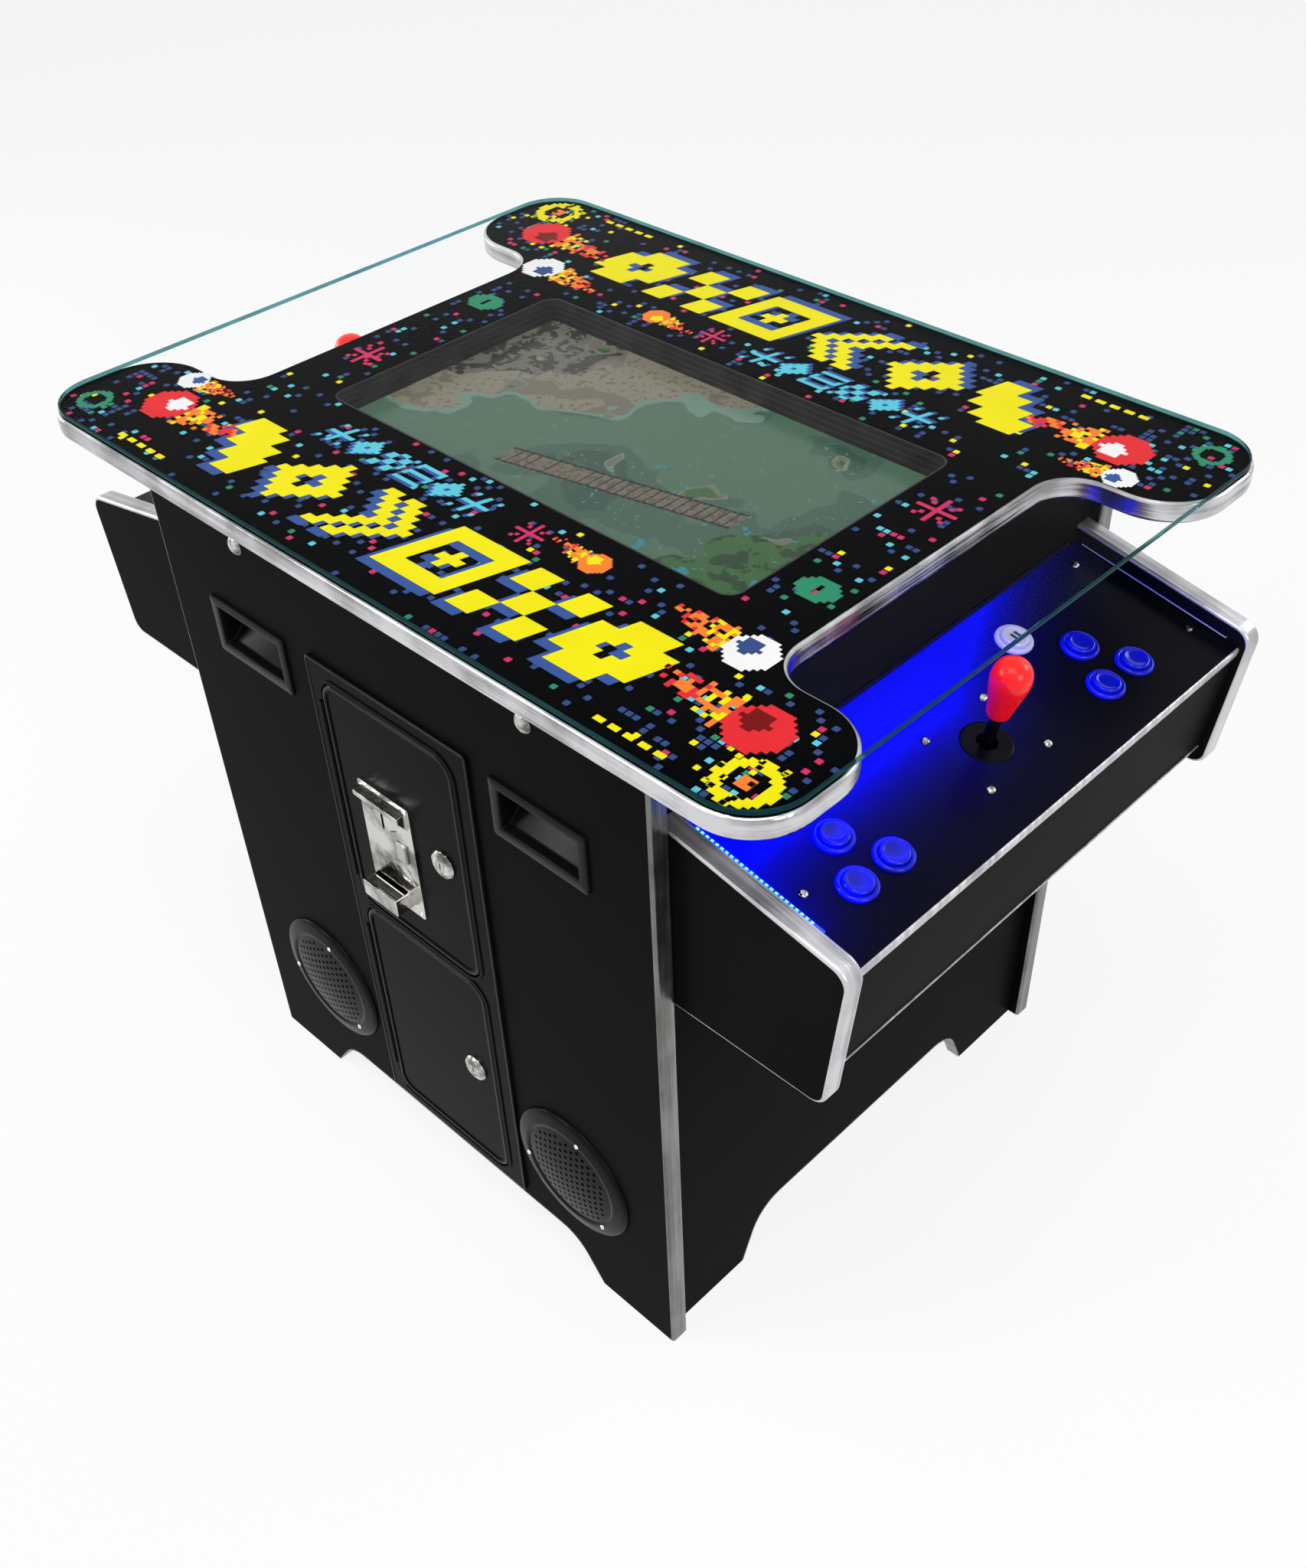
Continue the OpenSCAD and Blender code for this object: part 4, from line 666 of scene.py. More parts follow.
low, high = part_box("glass_top")
b = glassTop["bevel"]
base = low.z + glassTop["lift"]
levels = [(b, base)]
levels += [(b * (1 - sin(a)), base + b * (1 - cos(a))) for a in (pi / 6, pi / 3, pi / 2)]
levels += [(b * (1 - cos(a)), high.z - b + b * sin(a)) for a in (0, pi / 6, pi / 3, pi / 2)]
bm = bmesh.new()
loftLevels(bm, high.x - low.x, high.y - low.y, glassTop["corner"], levels, glassTop["cornerSteps"])
mesh = meshFrom(bm, "glassSheet")
for poly in mesh.polygons:
    poly.material_index = 0 if abs(poly.normal.z) > 0.99 else 1
newPiece("glassSheet", mesh, ["clearGlass", "glassEdge"], "cabinet", ["glass_top"])


# Printed artwork under the glass: square shapes made by rules, the same for each side by half a turn

artwork = {
    "cell": 0.0085, "lean": 0.28, "bandPitch": 0.0875, "bandY": -0.2345, "shadow": (-0.0062, -0.0088),
    "smallCell": 0.0042, "rowPitch": 0.034, "rowX": -0.172, "rowY": -0.1695, "rowShadow": (-0.0024, -0.0034),
    "thick": 0.00006, "step": 0.00005, "dashes": ((0.262, -0.297), (-0.318, -0.296)), "dashCount": 5,
    "dashPitch": 0.014, "dash": (0.009, 0.0052), "dots": 16, "dotAt": (0.362, -0.284), "dotSpread": (0.055, 0.05),
    "dotShift": (0.3, 0.4), "dotCentre": (0.374, -0.263), "dotReach": 0.042, "dot": 0.0045,
}
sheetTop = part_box("artwork_sheet")[1].z


# Rules for shapes on a 9 by 9 grid
def steppedDiamond(i, j):
    return 2 <= abs(i - 4) + abs(j - 4) <= 4


def doubleChevron(i, j):
    k = i - (4 - abs(j - 4))
    return 0 <= k <= 1 or 3 <= k <= 4


def boxInBox(i, j):
    m = max(abs(i - 4), abs(j - 4))
    return m >= 3 or m == 0 or (m == 1 and (i == 4 or j == 4))


def staircase(i, j):
    return i // 2 + j // 2 in (3, 4, 5) and i // 2 - 5 < 0


def checkBlocks(i, j):
    return (i // 3 + j // 3) % 2 == 0


def hollowCross(i, j):
    return (abs(i - 4) <= 2 or abs(j - 4) <= 2) and not (abs(i - 4) + abs(j - 4) <= 1)


# Rules for the small row, on a 7 by 7 grid
def smallDiamond(i, j):
    return 1 <= abs(i - 3) + abs(j - 3) <= 3


def smallWave(i, j):
    return (i + (j // 2) * 2) % 4 < 2


def smallBars(i, j):
    return j % 3 == 0 or (i % 6 == 0 and j % 3 != 1)


def smallPlus(i, j):
    return i == 3 or j == 3 or (abs(i - 3) == 3 and abs(j - 3) == 3)


inkLevels = {"shadowInk": 1}
inkSheets = {name: bmesh.new() for name in inks}


def inkTile(ink, corners, half):
    sheet = inkSheets[ink]
    bottom = sheetTop + 0.00001
    top = sheetTop + artwork["thick"] + artwork["step"] * inkLevels.get(ink, 2)
    flip = -1 if half else 1
    ring = [(flip * x, flip * y) for x, y in corners]
    under = [sheet.verts.new((x, y, bottom)) for x, y in ring]
    over = [sheet.verts.new((x, y, top)) for x, y in ring]
    sheet.faces.new(list(reversed(under)))
    sheet.faces.new(over)
    for i in range(4):
        j = (i + 1) % 4
        sheet.faces.new((under[i], under[j], over[j], over[i]))


def inkBox(ink, x, y, wide, deep, half):
    inkTile(ink, [(x, y), (x + wide, y), (x + wide, y + deep), (x, y + deep)], half)


# Fills the cells where the rule holds, run by run, leaning to the right
def inkShape(rule, count, cell, x, y, ink, half, lean=0.0, shift=(0, 0)):
    for j in range(count):
        i = 0
        while i < count:
            if rule(i, j):
                start = i
                while i < count and rule(i, j):
                    i += 1
                y0 = y + (j - count / 2) * cell
                y1 = y0 + cell
                x0, x1 = x + (start - count / 2) * cell, x + (i - count / 2) * cell
                inkTile(ink, [(u + lean * (v - y) + shift[0], v + shift[1])
                              for u, v in ((x0, y0), (x1, y0), (x1, y1), (x0, y1))], half)
            i += 1


# Repeatable scatter without random numbers
def jumble(i, j, k=0):
    return sin(i * 12.9898 + j * 78.233 + k * 37.719) * 43758.5453 % 1.0


# A ball with a broken fiery tail, flying to the right or the left
def comet(x, y, ballInk, coreInk, way, cell, seed, half):
    def ball(i, j):
        return (i - 6) ** 2 + (j - 6) ** 2 <= 30

    def core(i, j):
        return (i - 6 + 1.5 * way) ** 2 + (j - 7.4) ** 2 <= 6.5

    def rim(i, j):
        return ball(i, j) and not core(i, j)

    inkShape(rim, 13, cell, x, y, ballInk, half)
    inkShape(core, 13, cell, x, y, coreInk, half)
    for i in range(15):
        reach = 4.2 - i * 0.2
        for j in range(-4, 5):
            if abs(j) <= reach and jumble(i, j, seed) < 0.86 - i * 0.035:
                x0 = x - way * (5.5 + i) * cell - (cell if way > 0 else 0)
                y0 = y + (j - 0.5) * cell + i * 0.0004
                ink = "orangeInk" if jumble(i, j, seed + 5) < 0.62 else ("yellowInk" if i < 6 else "redInk")
                inkBox(ink, x0, y0, cell, cell, half)


def cutGem(i, j):
    return abs(i - 4) + abs(j - 4) <= 5 and abs(j - 4) <= 3 and not (i == 4 and 3 <= j <= 5)


def starBurst(i, j):
    return i == 4 or j == 4 or (abs(i - 4) == abs(j - 4) and 1 < abs(i - 4) < 4)


def steppedRing(i, j):
    d = (i - 6) ** 2 + (j - 6) ** 2
    return 14 <= d <= 38


def steppedHub(i, j):
    return (i - 6) ** 2 + (j - 6) ** 2 <= 3


bandRules = [staircase, steppedDiamond, doubleChevron, boxInBox, checkBlocks, hollowCross]
rowRules = [smallPlus, smallDiamond, smallWave, smallBars, smallDiamond, smallPlus]
comets = [       # x, y, ball, core, way, cell, seed
    (0.352, -0.232, "redInk", "darkInk", 1, 0.0046, 1),
    (0.292, -0.172, "whiteInk", "blueInk", 1, 0.0038, 2),
    (-0.330, -0.236, "redInk", "whiteInk", -1, 0.0044, 3),
    (-0.352, -0.196, "whiteInk", "shadowInk", -1, 0.0026, 4),
    (0.130, -0.166, "orangeInk", "yellowInk", 1, 0.0024, 6),
]
shapes = [       # rule, cells, cell, x, y, ink
    (steppedRing, 13, 0.0040, 0.382, -0.278, "yellowInk"),
    (steppedHub, 13, 0.0040, 0.382, -0.278, "orangeInk"),
    (steppedRing, 13, 0.0026, -0.388, -0.275, "greenInk"),
    (cutGem, 9, 0.0042, 0.276, -0.082, "greenInk"),
    (starBurst, 9, 0.0042, 0.274, 0.062, "pinkInk"),
    (starBurst, 9, 0.0034, 0.062, -0.170, "pinkInk"),
]


def shadowed(half, ink, lean, shift, *at):
    inkShape(*at, "shadowInk", half, lean, shift)
    inkShape(*at, ink, half, lean)


def layArtwork(a, half):
    for k, rule in enumerate(bandRules):
        shadowed(half, "yellowInk", a["lean"], a["shadow"], rule, 9, a["cell"], (k - 2.5) * a["bandPitch"], a["bandY"])
    for k, rule in enumerate(rowRules):
        shadowed(half, "cyanInk", a["lean"], a["rowShadow"], rule, 7, a["smallCell"], a["rowX"] + k * a["rowPitch"],
                 a["rowY"])
    for values in comets:
        comet(*values, half)
    for values in shapes:
        inkShape(*values, half)
    for k in range(a["dashCount"]):
        for x, y in a["dashes"]:
            inkBox("yellowInk", x + a["dashPitch"] * k, y, *a["dash"], half)
    for k in range(a["dots"]):
        x = a["dotAt"][0] + a["dotSpread"][0] * (jumble(k, 1, 3) - a["dotShift"][0])
        y = a["dotAt"][1] + a["dotSpread"][1] * (jumble(k, 2, 5) - a["dotShift"][1])
        if hypot(x - a["dotCentre"][0], y - a["dotCentre"][1]) < a["dotReach"]:
            inkBox("yellowInk", x, y, a["dot"], a["dot"], half)


def pieceName(start, ink):
    return start + ink[0].upper() + ink[1:]


for half in (0, 1):
    layArtwork(artwork, half)
for name, sheet in inkSheets.items():
    if len(sheet.faces):
        newPiece(pieceName("print", name), meshFrom(sheet, name), [name], "cabinet")
print("artwork laid")

# Loose squares between the shapes: the places where one may lie, then a tree that picks them

stars = {"pitch": 0.0066, "square": 0.0050, "chance": 0.115, "lobeChance": 0.27, "lobeFrom": 0.28, "lobeTo": 0.34,
         "seed": 11, "margin": 0.006, "columns": 70, "rows": 50}
tableTop = {"notchHalf": 0.182, "notchDepth": 0.114, "flare": 0.053, "window": (0.476, 0.268), "windowMargin": 0.004}
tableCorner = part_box("glass_top")[1]


def onSheet(x, y, margin):
    x, y = abs(x), abs(y)
    wide, deep = tableCorner.x, tableCorner.y
    hx, hy, r = wide - margin, deep - margin, glassTop["corner"] - margin
    if x > hx or y > hy or (x > hx - r and y > hy - r and hypot(x - hx + r, y - hy + r) > r):
        return False
    notch, flare = tableTop["notchHalf"], tableTop["flare"]
    if x > wide - tableTop["notchDepth"] - margin and y < notch + margin:
        return False
    if x > wide - flare and y < notch + flare and hypot(x - wide + flare, y - notch - flare) > flare - margin:
        return False
    wx, wy = (v / 2 + tableTop["windowMargin"] for v in tableTop["window"])
    return x > wx or y > wy


def starPlaces(pitch):
    cells = bmesh.new()
    for i in range(-stars["columns"], stars["columns"] + 1):
        for j in range(-stars["rows"], stars["rows"] + 1):
            if onSheet(i * pitch, j * pitch, stars["margin"]):
                cells.faces.new([cells.verts.new(((i + a) * pitch, (j + c) * pitch, sheetTop + 0.00004))
                                 for a, c in ((-0.5, -0.5), (0.5, -0.5), (0.5, 0.5), (-0.5, 0.5))])
    return plainMesh(cells, "starPlaces")


def makeScatter():
    tree, given = newTree("scatteredSquares", {
        "Square": ("Float", 0.005), "Thickness": ("Float", 0.00006), "Chance": ("Float", 0.1),
        "Lobe Chance": ("Float", 0.2), "From": ("Float", 0.0), "To": ("Float", 1.0), "Seed": ("Int", 0),
        "Finish": ("Material", None)})
    node, work = partial(treeNode, tree), partial(treeMath, tree)
    side = work("ABSOLUTE", treePlace(tree, 0))
    chance = node("ShaderNodeMapRange", {"Value": side, "From Min": stars["lobeFrom"], "From Max": stars["lobeTo"],
                                         "To Min": given["Chance"], "To Max": given["Lobe Chance"]})
    dice = node("FunctionNodeRandomValue", {"Seed": given["Seed"]}, 1, data_type="FLOAT")
    above = work("GREATER_THAN", dice, work("MULTIPLY", chance, given["From"]))
    below = work("LESS_THAN", dice, work("MULTIPLY", chance, given["To"]))
    points = node("GeometryNodeMeshToPoints", {"Mesh": given["Geometry"], "Selection": work("MULTIPLY", above, below)},
                  mode="FACES")
    size = treeVector(tree, given["Square"], given["Square"], given["Thickness"])
    return treeEnd(tree, treeCopies(tree, points, node("GeometryNodeMeshCube", {"Size": size})), given["Finish"])


starCells, scatter = starPlaces(stars["pitch"]), makeScatter()
for ink, (start, end) in {"blueInk": (0.0, 0.56), "cyanInk": (0.56, 0.72), "pinkInk": (0.72, 0.84),
                          "greenInk": (0.84, 0.93), "yellowInk": (0.93, 1.0)}.items():
    name = pieceName("loose", ink)
    made = runTree(scatter, name, starCells, ink, {
        "Square": stars["square"], "Thickness": artwork["thick"], "Chance": stars["chance"],
        "Lobe Chance": stars["lobeChance"], "From": start, "To": end, "Seed": stars["seed"]})
    newPiece(name, made, [ink], "cabinet")
print("loose squares laid")

# Joysticks: a smooth bat on each stick

bat = {"foot": 0.031, "socket": 0.014, "length": 0.0555, "widest": 0.0160, "shaft": 0.005,
       "outline": [(0.0, 0.44), (0.012, 0.53), (0.05, 0.60), (0.12, 0.645), (0.25, 0.73), (0.4, 0.84), (0.55, 0.945),
                   (0.64, 0.99), (0.70, 1.0), (0.79, 0.965), (0.87, 0.865), (0.935, 0.68), (0.975, 0.44), (0.995, 0.2)]}
for p in (1, 2):
    bm = bmesh.new()
    line = throughPoints([(t * bat["length"], s * bat["widest"]) for t, s in bat["outline"]], 4)
    inside = bat["foot"] + bat["socket"]
    profile = [(0, inside), (bat["shaft"], inside), (bat["shaft"], bat["foot"])]
    profile += [(r, bat["foot"] + z) for z, r in line] + [(0, bat["foot"] + bat["length"])]
    turned(bm, profile, 64)
    newPiece(f"player{p}BatGrip", meshFrom(bm, "batGrip", panelFrame[p]), ["redBat"], f"player_{p}_stick",
             [f"player_{p}_joystick_bat"], 50)

# Push buttons: fourteen collars set out together, and a plunger for each moving button

button = {
    "rim": 0.0165, "rimHeight": 0.0036, "bore": 0.01205, "tube": 0.0141, "deep": 0.024, "plunger": 0.012,
    "stemEnd": 0.0202, "stem": 0.0056, "shoulder": 0.014, "seat": 0.00002,
    "crown": [(0.0165, 0.0009), (0.01645, 0.0018), (0.0160, 0.0028), (0.0152, 0.00345), (0.0142, 0.0036),
              (0.0132, 0.00342), (0.0125, 0.0030), (0.01205, 0.0022)],
    "top": [(0.012, -0.0010), (0.012, 0.0012), (0.01185, 0.0019), (0.0112, 0.0026), (0.0102, 0.0029),     # over the rim
            (0.0090, 0.0028), (0.0076, 0.0024), (0.0050, 0.0021), (0.0025, 0.00205), (0, 0.002)],
    "bars": (-0.0024, 0.0024), "bar": (0.0064, 0.0022, 0.0009, 1), "barHeight": 0.00245,
}
buttonNames = {p: [f"player_{p}_button_{i}" for i in range(1, 7)] + [f"player_{p}_start_button"] for p in (1, 2)}

h = button["rimHeight"]
bm = bmesh.new()
turned(bm, [(button["bore"], -button["deep"]), (button["tube"], -button["deep"]), (button["tube"], button["seat"]),
            (button["rim"] - 0.0003, button["seat"]), (button["rim"], 0.0004)] + throughPoints(button["crown"], 3),
       40, closed=True)
collarMesh = meshFrom(bm, "collar")
for kind in ("blue", "pale"):
    places = [seatOf(n, p) for p in (1, 2) for n in buttonNames[p] if n.endswith("start_button") == (kind == "pale")]
    made = setOutCopies(kind + "Collars", collarMesh, places, kind + "Button")
    newPiece(kind + "Collars", made, [kind + "Button"], "cabinet", ["button_collars"], 50)

foot = [(0, -button["stemEnd"]), (button["stem"], -button["stemEnd"]), (button["stem"], -button["shoulder"]),
        (button["plunger"], -button["shoulder"])]
top = [(r, h + z) for r, z in button["top"]]
for p in (1, 2):
    for name in buttonNames[p]:
        kind = "pale" if name.endswith("start_button") else "blue"
        bm = bmesh.new()
        turned(bm, foot + throughPoints(top[:-1], 3) + top[-1:], 48)
        newPiece("plunger" + name.title().replace("_", ""), meshFrom(bm, "plunger", seatOf(name, p)),
                 [kind + "Button"], name, [name], 50)
        if kind == "pale":       # two plain bars
            bm = bmesh.new()
            for y in button["bars"]:
                bmesh.ops.create_cube(bm, size=1, matrix=moved(0, y, h + button["barHeight"])
                                      @ Matrix.Diagonal(button["bar"]))
            newPiece(f"player{p}StartMark", meshFrom(bm, "startMark", seatOf(name, p)), ["printedMark"], name)
print("controls made")

# Lamp chips along the light strips

lampRow = {"middle": -0.0205, "length": 0.116, "margin": 0.006, "width": 0.0042, "up": 0.0128, "pitch": 0.0047,
           "chip": (0.0021, 0.0018, 0.0009), "lift": 0.0002}


def makeLampRow():
    tree, given = newTree("lampRow", {"Length": ("Float", 0.3), "Pitch": ("Float", 0.008), "Chip": ("Vector", None),
                                      "Finish": ("Material", None)})
    node, work = partial(treeNode, tree), partial(treeMath, tree)
    row = node("GeometryNodeMeshLine", {
        "Count": work("FLOOR", work("DIVIDE", given["Length"], given["Pitch"])),
        "Start Location": treeVector(tree, work("MULTIPLY", given["Length"], -0.5)),
        "Offset": treeVector(tree, given["Pitch"])})
    return treeEnd(tree, treeCopies(tree, row, node("GeometryNodeMeshCube", {"Size": given["Chip"]})), given["Finish"])


lampTree = makeLampRow()
empty = bpy.data.meshes.new("nothing")
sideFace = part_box("light_strips")[1].y      # inner faces of the side boards
stickOff = panelFrame[1].translation.y      # the joystick stands a little off the middle
for p in (1, 2):
    row = panelFrame[p] @ moved(lampRow["middle"], lampRow["width"] / 2 - sideFace - stickOff, lampRow["up"])
    bm = bmesh.new()
    loftLevels(bm, lampRow["length"] + lampRow["margin"], lampRow["width"], 0.0006,
               [(0.0003, -0.0012), (0, -0.0009), (0, -0.0003), (0.0003, 0)], 3)
    newPiece(f"player{p}LampCarrier", meshFrom(bm, "lampCarrier", row), ["lampCarrier"], "cabinet")
    made = runTree(lampTree, f"player{p}Lamps", empty, "lampChip", {
        "Length": lampRow["length"], "Pitch": lampRow["pitch"], "Chip": lampRow["chip"]},
        row @ moved(0, lampRow["lift"], lampRow["lift"]))
    newPiece(made.name, made, ["lampChip"], "cabinet")
print("lamp chips set")


# Carrying handles: a flange with a scooped pocket whose floor climbs towards the back

handle = {"rim": 0.010, "flange": 0.003, "deep": 0.0295, "lip": 0.006, "kink": 0.10, "wall": 0.0025,
          "corner": 0.0035, "edge": 0.0013, "soft": 0.0016, "width": 0.107}


def handleCup(width, height, place):
    bm = bmesh.new()
    w, h = width / 2 - handle["rim"], height / 2 - handle["rim"]

    def scoop(grow, front):
        line = [(-h - grow, front), (h + grow, front), (h + grow, -handle["deep"] - grow),
                (2 * h * handle["kink"] - grow, -handle["deep"] - grow), (-h - grow, -handle["lip"] - grow)]
        sides = [[bm.verts.new((sx * (w + grow), y, z)) for y, z in line] for sx in (-1, 1)]
        for k in range(1, 5):
            j = (k + 1) % 5
            bm.faces.new((sides[0][k], sides[1][k], sides[1][j], sides[0][j]))
        for side in sides:
            bm.faces.new(side)
        return [sides[1][1], sides[0][1], sides[0][0], sides[1][0]]       # the mouth, from top right, leftwards

    e = handle["edge"]
    rings = []
    for inset, z in ((0, 0), (0, handle["flange"] - e), (e * 0.3, handle["flange"] - e * 0.3), (e, handle["flange"])):
        loop = roundedLoop(width - 2 * inset, height - 2 * inset, handle["corner"] - inset, 6)
        rings.append([bm.verts.new((x, y, z)) for x, y in loop])
    joinRings(bm, rings, "open")
    for ring, mouth in ((rings[-1], scoop(0, handle["flange"])), (rings[0], scoop(handle["wall"], 0))):
        n = len(ring) // 4
        for k in range(4):
            bm.faces.new(ring[k * n:(k + 1) * n] + [mouth[k]])
            bm.faces.new((ring[(k + 1) * n - 1], ring[(k + 1) * n % len(ring)], mouth[(k + 1) % 4], mouth[k]))
    bmesh.ops.recalc_face_normals(bm, faces=bm.faces)
    inside = [edge for edge in bm.edges if all(abs(v.co.x) < w + 1e-6 and abs(v.co.y) < h + 1e-6 for v in edge.verts)]
    bmesh.ops.bevel(bm, geom=inside, offset=handle["soft"], segments=3, profile=0.5, affect="EDGES",
                    clamp_overlap=True)
    return meshFrom(bm, "handleCup", place)


low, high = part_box("handle_cups")
handleSize = (handle["width"], high.z - low.z)
handleX, handleZ = high.x - handleSize[0] / 2, (low.z + high.z) / 2
for label, face in (("near", coinFace), ("far", farFace)):
    for x in (-1, 1):
        place = face @ moved(x * handleX, handleZ)
        newPiece(f"{label}Handle{'LR'[x > 0]}", handleCup(*handleSize, place), ["handlePlastic"], "cabinet",
                 ["handle_cups"], 40)
print("handles made")


# Speakers: a moulded rim round a domed, perforated sheet

speaker = {"inner": 0.0525, "pitch": 0.0082, "hole": 0.0019, "perforated": 0.0495, "reach": 0.0575, "rise": 0.0048,
           "base": 0.0046, "sunk": 0.17, "sheet": 0.0009, "screwIn": 0.014, "screwHeight": 0.0062,
           "screwAngles": (75, 195, 315)}


def makeSoundHoles():
    tree, given = newTree("soundHoles", {
        "Holed Cell": ("Object", None), "Plain Cell": ("Object", None), "Pitch": ("Float", 0.007),
        "Perforated": ("Float", 0.05), "Reach": ("Float", 0.056), "Rise": ("Float", 0.004), "Base": ("Float", 0.004),
        "Finish": ("Material", None)})
    node, work = partial(treeNode, tree), partial(treeMath, tree)
    pitch, reach = given["Pitch"], given["Reach"]
    rowStep = work("MULTIPLY", pitch, sqrt(3) / 2)
    across = work("ADD", work("MULTIPLY", reach, 2.0), pitch)
    columns, rows = (work("CEIL", work("DIVIDE", across, step)) for step in (pitch, rowStep))
    grid = node("GeometryNodeMeshGrid", {
        "Size X": work("MULTIPLY", columns, pitch), "Size Y": work("MULTIPLY", rows, rowStep),
        "Vertices X": work("ADD", columns, 1.0), "Vertices Y": work("ADD", rows, 1.0)})
    row = work("ROUND", work("ADD", work("DIVIDE", treePlace(tree, 1), rowStep), work("MULTIPLY", rows, 0.5)))
    shift = treeVector(tree, work("MULTIPLY", work("FLOORED_MODULO", row, 2.0), work("MULTIPLY", pitch, 0.5)))
    staggered = node("GeometryNodeSetPosition", {"Geometry": grid, "Offset": shift})
    far = node("ShaderNodeVectorMath", {0: node("GeometryNodeInputPosition")}, "Value", operation="LENGTH")
    holed = work("LESS_THAN", far, given["Perforated"])
    plain = work("MULTIPLY", work("SUBTRACT", 1.0, holed), work("LESS_THAN", far, reach))
    both = tree.nodes.new("GeometryNodeJoinGeometry")
    for chosen, label in ((holed, "Holed Cell"), (plain, "Plain Cell")):
        points = node("GeometryNodeMeshToPoints", {"Mesh": staggered, "Selection": chosen})
        shape = node("GeometryNodeObjectInfo", {"Object": given[label], "As Instance": True}, "Geometry")
        real = node("GeometryNodeRealizeInstances", {"Geometry": treeCopies(tree, points, shape)})
        tree.links.new(real, both.inputs[0])
    welded = node("GeometryNodeMergeByDistance", {"Geometry": both.outputs[0], "Distance": 0.00004})
    flat = treeVector(tree, treePlace(tree, 0), treePlace(tree, 1))
    share = work("DIVIDE", node("ShaderNodeVectorMath", {0: flat}, "Value", operation="LENGTH"), reach)
    drop = work("MULTIPLY", work("MULTIPLY", share, share), given["Rise"])
    up = treeVector(tree, 0.0, 0.0, work("SUBTRACT", work("ADD", given["Base"], given["Rise"]), drop))
    return treeEnd(tree, node("GeometryNodeSetPosition", {"Geometry": welded, "Offset": up}), given["Finish"])


# A six-sided piece of the sheet, open at its sides, with or without a hole
def sheetCell(name, hole):
    bm = bmesh.new()
    outer = speaker["pitch"] / sqrt(3)
    layers = []
    for z in (0, speaker["sheet"]):
        rim = [bm.verts.new((outer * sin(radians(60 * k)), outer * cos(radians(60 * k)), z))
               for k in range(6)]
        mouth = [bm.verts.new((hole * sin(radians(30 * k)), hole * cos(radians(30 * k)), z))
                 for k in range(12)] if hole else []
        layers.append((rim, mouth))
    for (rim, mouth), up in zip(layers, (False, True)):
        faces = [rim] if not hole else []
        for k in range(6) if hole else ():
            faces.append([rim[k], rim[(k + 1) % 6], mouth[(2 * k + 2) % 12], mouth[2 * k + 1], mouth[2 * k]])
        for face in faces:
            bm.faces.new(list(reversed(face)) if up else face)
    if hole:
        low, high = layers[0][1], layers[1][1]
        for k in range(12):
            j = (k + 1) % 12
            bm.faces.new((low[k], low[j], high[j], high[k]))
    return newObject(name, plainMesh(bm, name))


# Closes the sheet between its two faces along the outer rim
def closeRim(mesh):
    bm = bmesh.new()
    bm.from_mesh(mesh)
    rim = [edge for edge in bm.edges if edge.is_boundary]
    if rim:
        bmesh.ops.bridge_loops(bm, edges=rim)
    bmesh.ops.recalc_face_normals(bm, faces=bm.faces)
    bm.to_mesh(mesh)
    bm.free()


holedCell, plainCell = sheetCell("holedCell", speaker["hole"]), sheetCell("plainCell", 0)
soundHoles = makeSoundHoles()
low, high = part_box("speaker_grilles")
rimRadius = (high.z - low.z) / 2
speakerX, speakerZ = high.x - rimRadius, (low.z + high.z) / 2
rimLine = [(rimRadius - inward, z) for inward, z in (
    (0, 0.0), (0, 0.0014), (0.0006, 0.0026), (0.0019, 0.0036), (0.0045, 0.0045), (0.008, 0.0052), (0.0115, 0.0059),
    (0.0135, 0.0063))]
rimLine += [(0.0566, 0.0063), (0.0548, 0.0060), (0.0534, 0.0052), (speaker["inner"], 0.0040)]
screwShape = bmesh.new()
turned(screwShape, [(0, -0.004), (0.0012, -0.004), (0.0012, 0), (0.0026, 0), (0.0026, 0.0004), (0.0022, 0.0011),
                    (0.0013, 0.00155), (0.0011, 0.0011), (0, 0.0010)], 16)
screwMesh = meshFrom(screwShape, "panScrew")
for x in (-1, 1):
    place, label = coinFace @ moved(x * speakerX, speakerZ), "LR"[x > 0]
    bm = bmesh.new()
    turned(bm, [(speaker["inner"], 0.0002)] + rimLine, 96, closed=True)
    made = runTree(soundHoles, "speakerSheet" + label, empty, "speakerPlastic", {
        "Holed Cell": holedCell, "Plain Cell": plainCell, "Pitch": speaker["pitch"], "Reach": speaker["reach"],
        "Perforated": speaker["perforated"], "Rise": speaker["rise"],
        "Base": speaker["base"] - speaker["rise"] * speaker["sunk"]})
    closeRim(made)
    made.transform(place @ Matrix.Rotation(radians(90), 4, "Z"))
    for name, mesh in (("speakerRim", meshFrom(bm, "speakerRim", place)), ("speakerSheet", made)):
        newPiece(name + label, mesh, ["speakerPlastic"], "cabinet", ["speaker_grilles"], 50)
screwRadius = rimRadius - speaker["screwIn"]
places = [coinFace @ moved(x * speakerX + screwRadius * cos(radians(a)), speakerZ + screwRadius * sin(radians(a)),
                           speaker["screwHeight"]) for x in (-1, 1) for a in speaker["screwAngles"]]
made = setOutCopies("speakerScrews", screwMesh, places, "chromePlate")
newPiece(made.name, made, ["chromePlate"], "cabinet")
for cell in (holedCell, plainCell):
    bpy.data.objects.remove(cell)
print("speakers made")


# Coin door: rolled rims on both doors and round the frame, and small screws on the coin plate

door = {"width": 0.167, "frameWidth": 0.204, "face": 0.003, "corner": 0.020, "inset": 0.0008, "rim": 0.0042,
        "rimHeight": 0.0013, "frameCorner": 0.004, "frameRim": 0.0028, "frameHeight": 0.0009, "plateFace": 0.0055,
        "plateEdge": 0.0050, "plateScrew": 0.8}


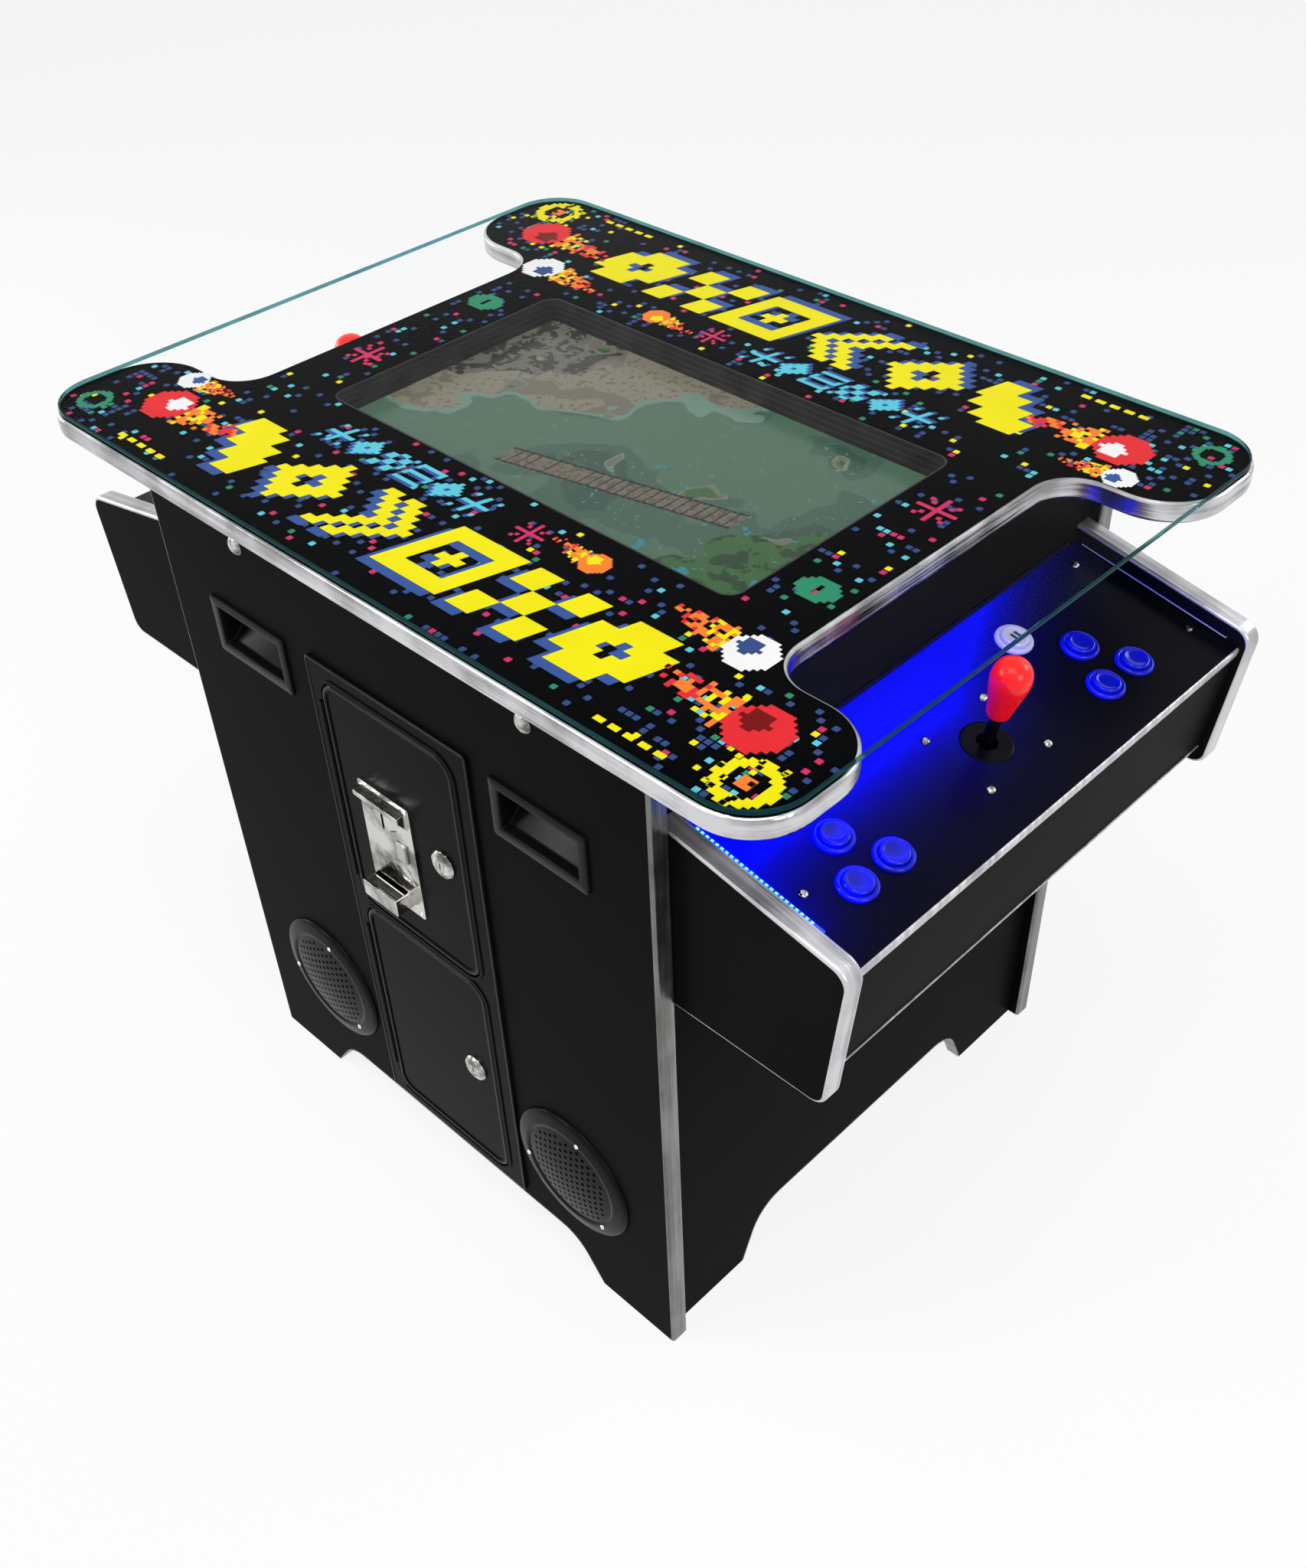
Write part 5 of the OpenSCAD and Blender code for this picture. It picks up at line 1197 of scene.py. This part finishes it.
# Rolled rim round the face of a door or frame, which is so wide from its right-hand edge
def rolledRim(name, node, body, across, inset, corner, wide, tall):
    low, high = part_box(node)
    base = door["face"] - 0.0001
    arc = [(wide * (0.5 - 0.5 * cos(radians(a))), base + tall * sin(radians(a)))
           for a in (0, 25, 50, 75, 90, 105, 130, 155, 180)]
    bm = bmesh.new()
    loftLevels(bm, across - 2 * inset, high.z - low.z - 2 * inset, corner - inset, arc, 10,
               (high.x - across / 2, (low.z + high.z) / 2), "ring")
    newPiece(name, meshFrom(bm, name, coinFace), ["glossyCoat"], body)


for name, node, body in (("upperDoorRim", "upper_coin_door", "upper_door"),
                         ("lowerDoorRim", "lower_cash_door", "lower_door")):
    rolledRim(name, node, body, door["width"], door["inset"], door["corner"], door["rim"], door["rimHeight"])
rolledRim("doorFrameRim", "coin_door_frame", "cabinet", door["frameWidth"], 0, door["frameCorner"], door["frameRim"],
          door["frameHeight"])
low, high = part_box("coin_slot_plate")
e = door["plateEdge"]
places = [coinFace @ moved(x, z, door["plateFace"]) for x in (low.x + e, high.x - e) for z in (low.z + e, high.z - e)]
made = setOutCopies("plateScrews", screwMesh, places, "chromePlate", door["plateScrew"])
newPiece(made.name, made, ["chromePlate"], "upper_door")
print("coin door finished")


# Floor, far backdrop, room and lamps

stage = {"floor": 14.0, "wall": 3.0, "floorColour": (0.86, 0.86, 0.86), "shown": 0.86, "world": 0.28,
         "worldShown": 0.95}


# Is 1 for what is seen straight, through the glass or in a mirroring face
def seenRay(mat, path):
    seen = calc(mat, "MAXIMUM", path["Is Camera Ray"], path["Is Transmission Ray"])
    return calc(mat, "MAXIMUM", seen, path["Is Glossy Ray"])


def stageFinish(name):
    mat = newMaterial(name, {"Base Color": stage["floorColour"], "Roughness": 0.9, "Specular IOR Level": 0.1})
    seen = seenRay(mat, addNode(mat, "LightPath").outputs)
    white = addNode(mat, "Emission", {"Color": (1, 1, 1), "Strength": 1.0})
    both = addNode(mat, "MixShader", {0: calc(mat, "MULTIPLY", seen, stage["shown"]), 1: shader(mat).outputs[0],
                                      2: white.outputs[0]})
    give(mat, mat.node_tree.nodes["Material Output"], "Surface", both.outputs[0])
    return mat


# The room's light; what reaches a matt surface through the glass stays as plain as what reaches it openly
def addRoom(name):
    world = bpy.context.scene.world = bpy.data.worlds.new(name)
    world.use_nodes = True
    path = addNode(world, "LightPath").outputs
    direct = calc(world, "LESS_THAN", path["Diffuse Depth"], 0.5)
    shown = calc(world, "MULTIPLY", seenRay(world, path), direct)
    background = world.node_tree.nodes["Background"]
    give(world, background, "Strength", spread(world, shown, stage["world"], stage["worldShown"], 0, 1))
    give(world, background, "Color", (1, 1, 1))


def addStage(name):
    bm = bmesh.new()
    ring = [(stage["floor"] * cos(radians(a)), stage["floor"] * sin(radians(a))) for a in range(0, 360, 5)]
    lower, upper = ([bm.verts.new((x, y, z)) for x, y in ring] for z in (0, stage["wall"]))
    bm.faces.new(lower)
    joinRings(bm, [lower[::-1], upper[::-1]], "open")
    mesh = plainMesh(bm, name)
    mesh.materials.append(stageFinish(name))
    newObject(name, mesh)


addStage("paleStage")
addRoom("paleRoom")

lamps = {
    "overhead": {"place": (0.6, -0.7, 3.2), "aim": (0, 0, 0.6), "size": (1.7, 1.1), "power": 38},
    "windowSide": {"place": (-1.9, -2.5, 2.3), "aim": (0, 0, 0.4), "size": (1.2, 0.8), "power": 46},
    "farSide": {"place": (1.2, 2.8, 2.2), "aim": (0, 0, 0.5), "size": (1.8, 1.0), "power": 26},
    "nearEnd": {"place": (3.0, -0.4, 2.0), "aim": (0.2, 0, 0.4), "size": (1.2, 1.2), "power": 30},
    "farEnd": {"place": (-3.0, -0.7, 0.9), "aim": (-0.2, 0, 0.4), "size": (1.2, 0.8), "power": 18},
}


def addLamp(name, place, size, power, colour=(1, 1, 1), mirrored=True):
    data = bpy.data.lights.new(name, "AREA")
    data.shape = "RECTANGLE"
    data.size, data.size_y = size
    data.energy = power
    data.color = colour
    ob = newObject(name, data)
    ob.matrix_world = place
    ob.visible_camera = ob.visible_transmission = False  # what lies under the glass gets each lamp's light once
    ob.visible_glossy = mirrored


# A lamp at a place, shining along a way, with its long side across
def aimed(place, way, across):
    z = -Vector(way).normalized()
    x = Vector(across).normalized()
    return moved(*place) @ Matrix((x, z.cross(x), z)).transposed().to_4x4()


for name, lamp in lamps.items():
    way = Vector(lamp["aim"]) - Vector(lamp["place"])
    addLamp(name, aimed(lamp["place"], way, way.cross(Vector((0, 0, 1)))), lamp["size"], lamp["power"])

# Blue light of the strips: one along the end of the body, one along the left-hand side board
glow = {"colour": (0, 0.002, 1), "back": -0.0835, "middle": -0.105, "up": 0.012, "size": (0.25, 0.008), "power": 3.0,
        "way": (1, 0, -0.12), "sideUp": 0.0105, "sideOff": 0.0048, "sideSize": (0.11, 0.006), "sidePower": 0.5,
        "sideWay": (0, 1, -0.35)}
for p in (1, 2):
    end = aimed((glow["back"], glow["middle"], glow["up"]), glow["way"], (0, 1, 0))
    addLamp(f"player{p}EndGlow", panelFrame[p] @ end, glow["size"], glow["power"], glow["colour"], False)
    side = aimed((lampRow["middle"], glow["sideOff"] - sideFace - stickOff, glow["sideUp"]), glow["sideWay"], (1, 0, 0))
    addLamp(f"player{p}SideGlow", panelFrame[p] @ side, glow["sideSize"], glow["sidePower"], glow["colour"], False)
print("floor and lamps placed")
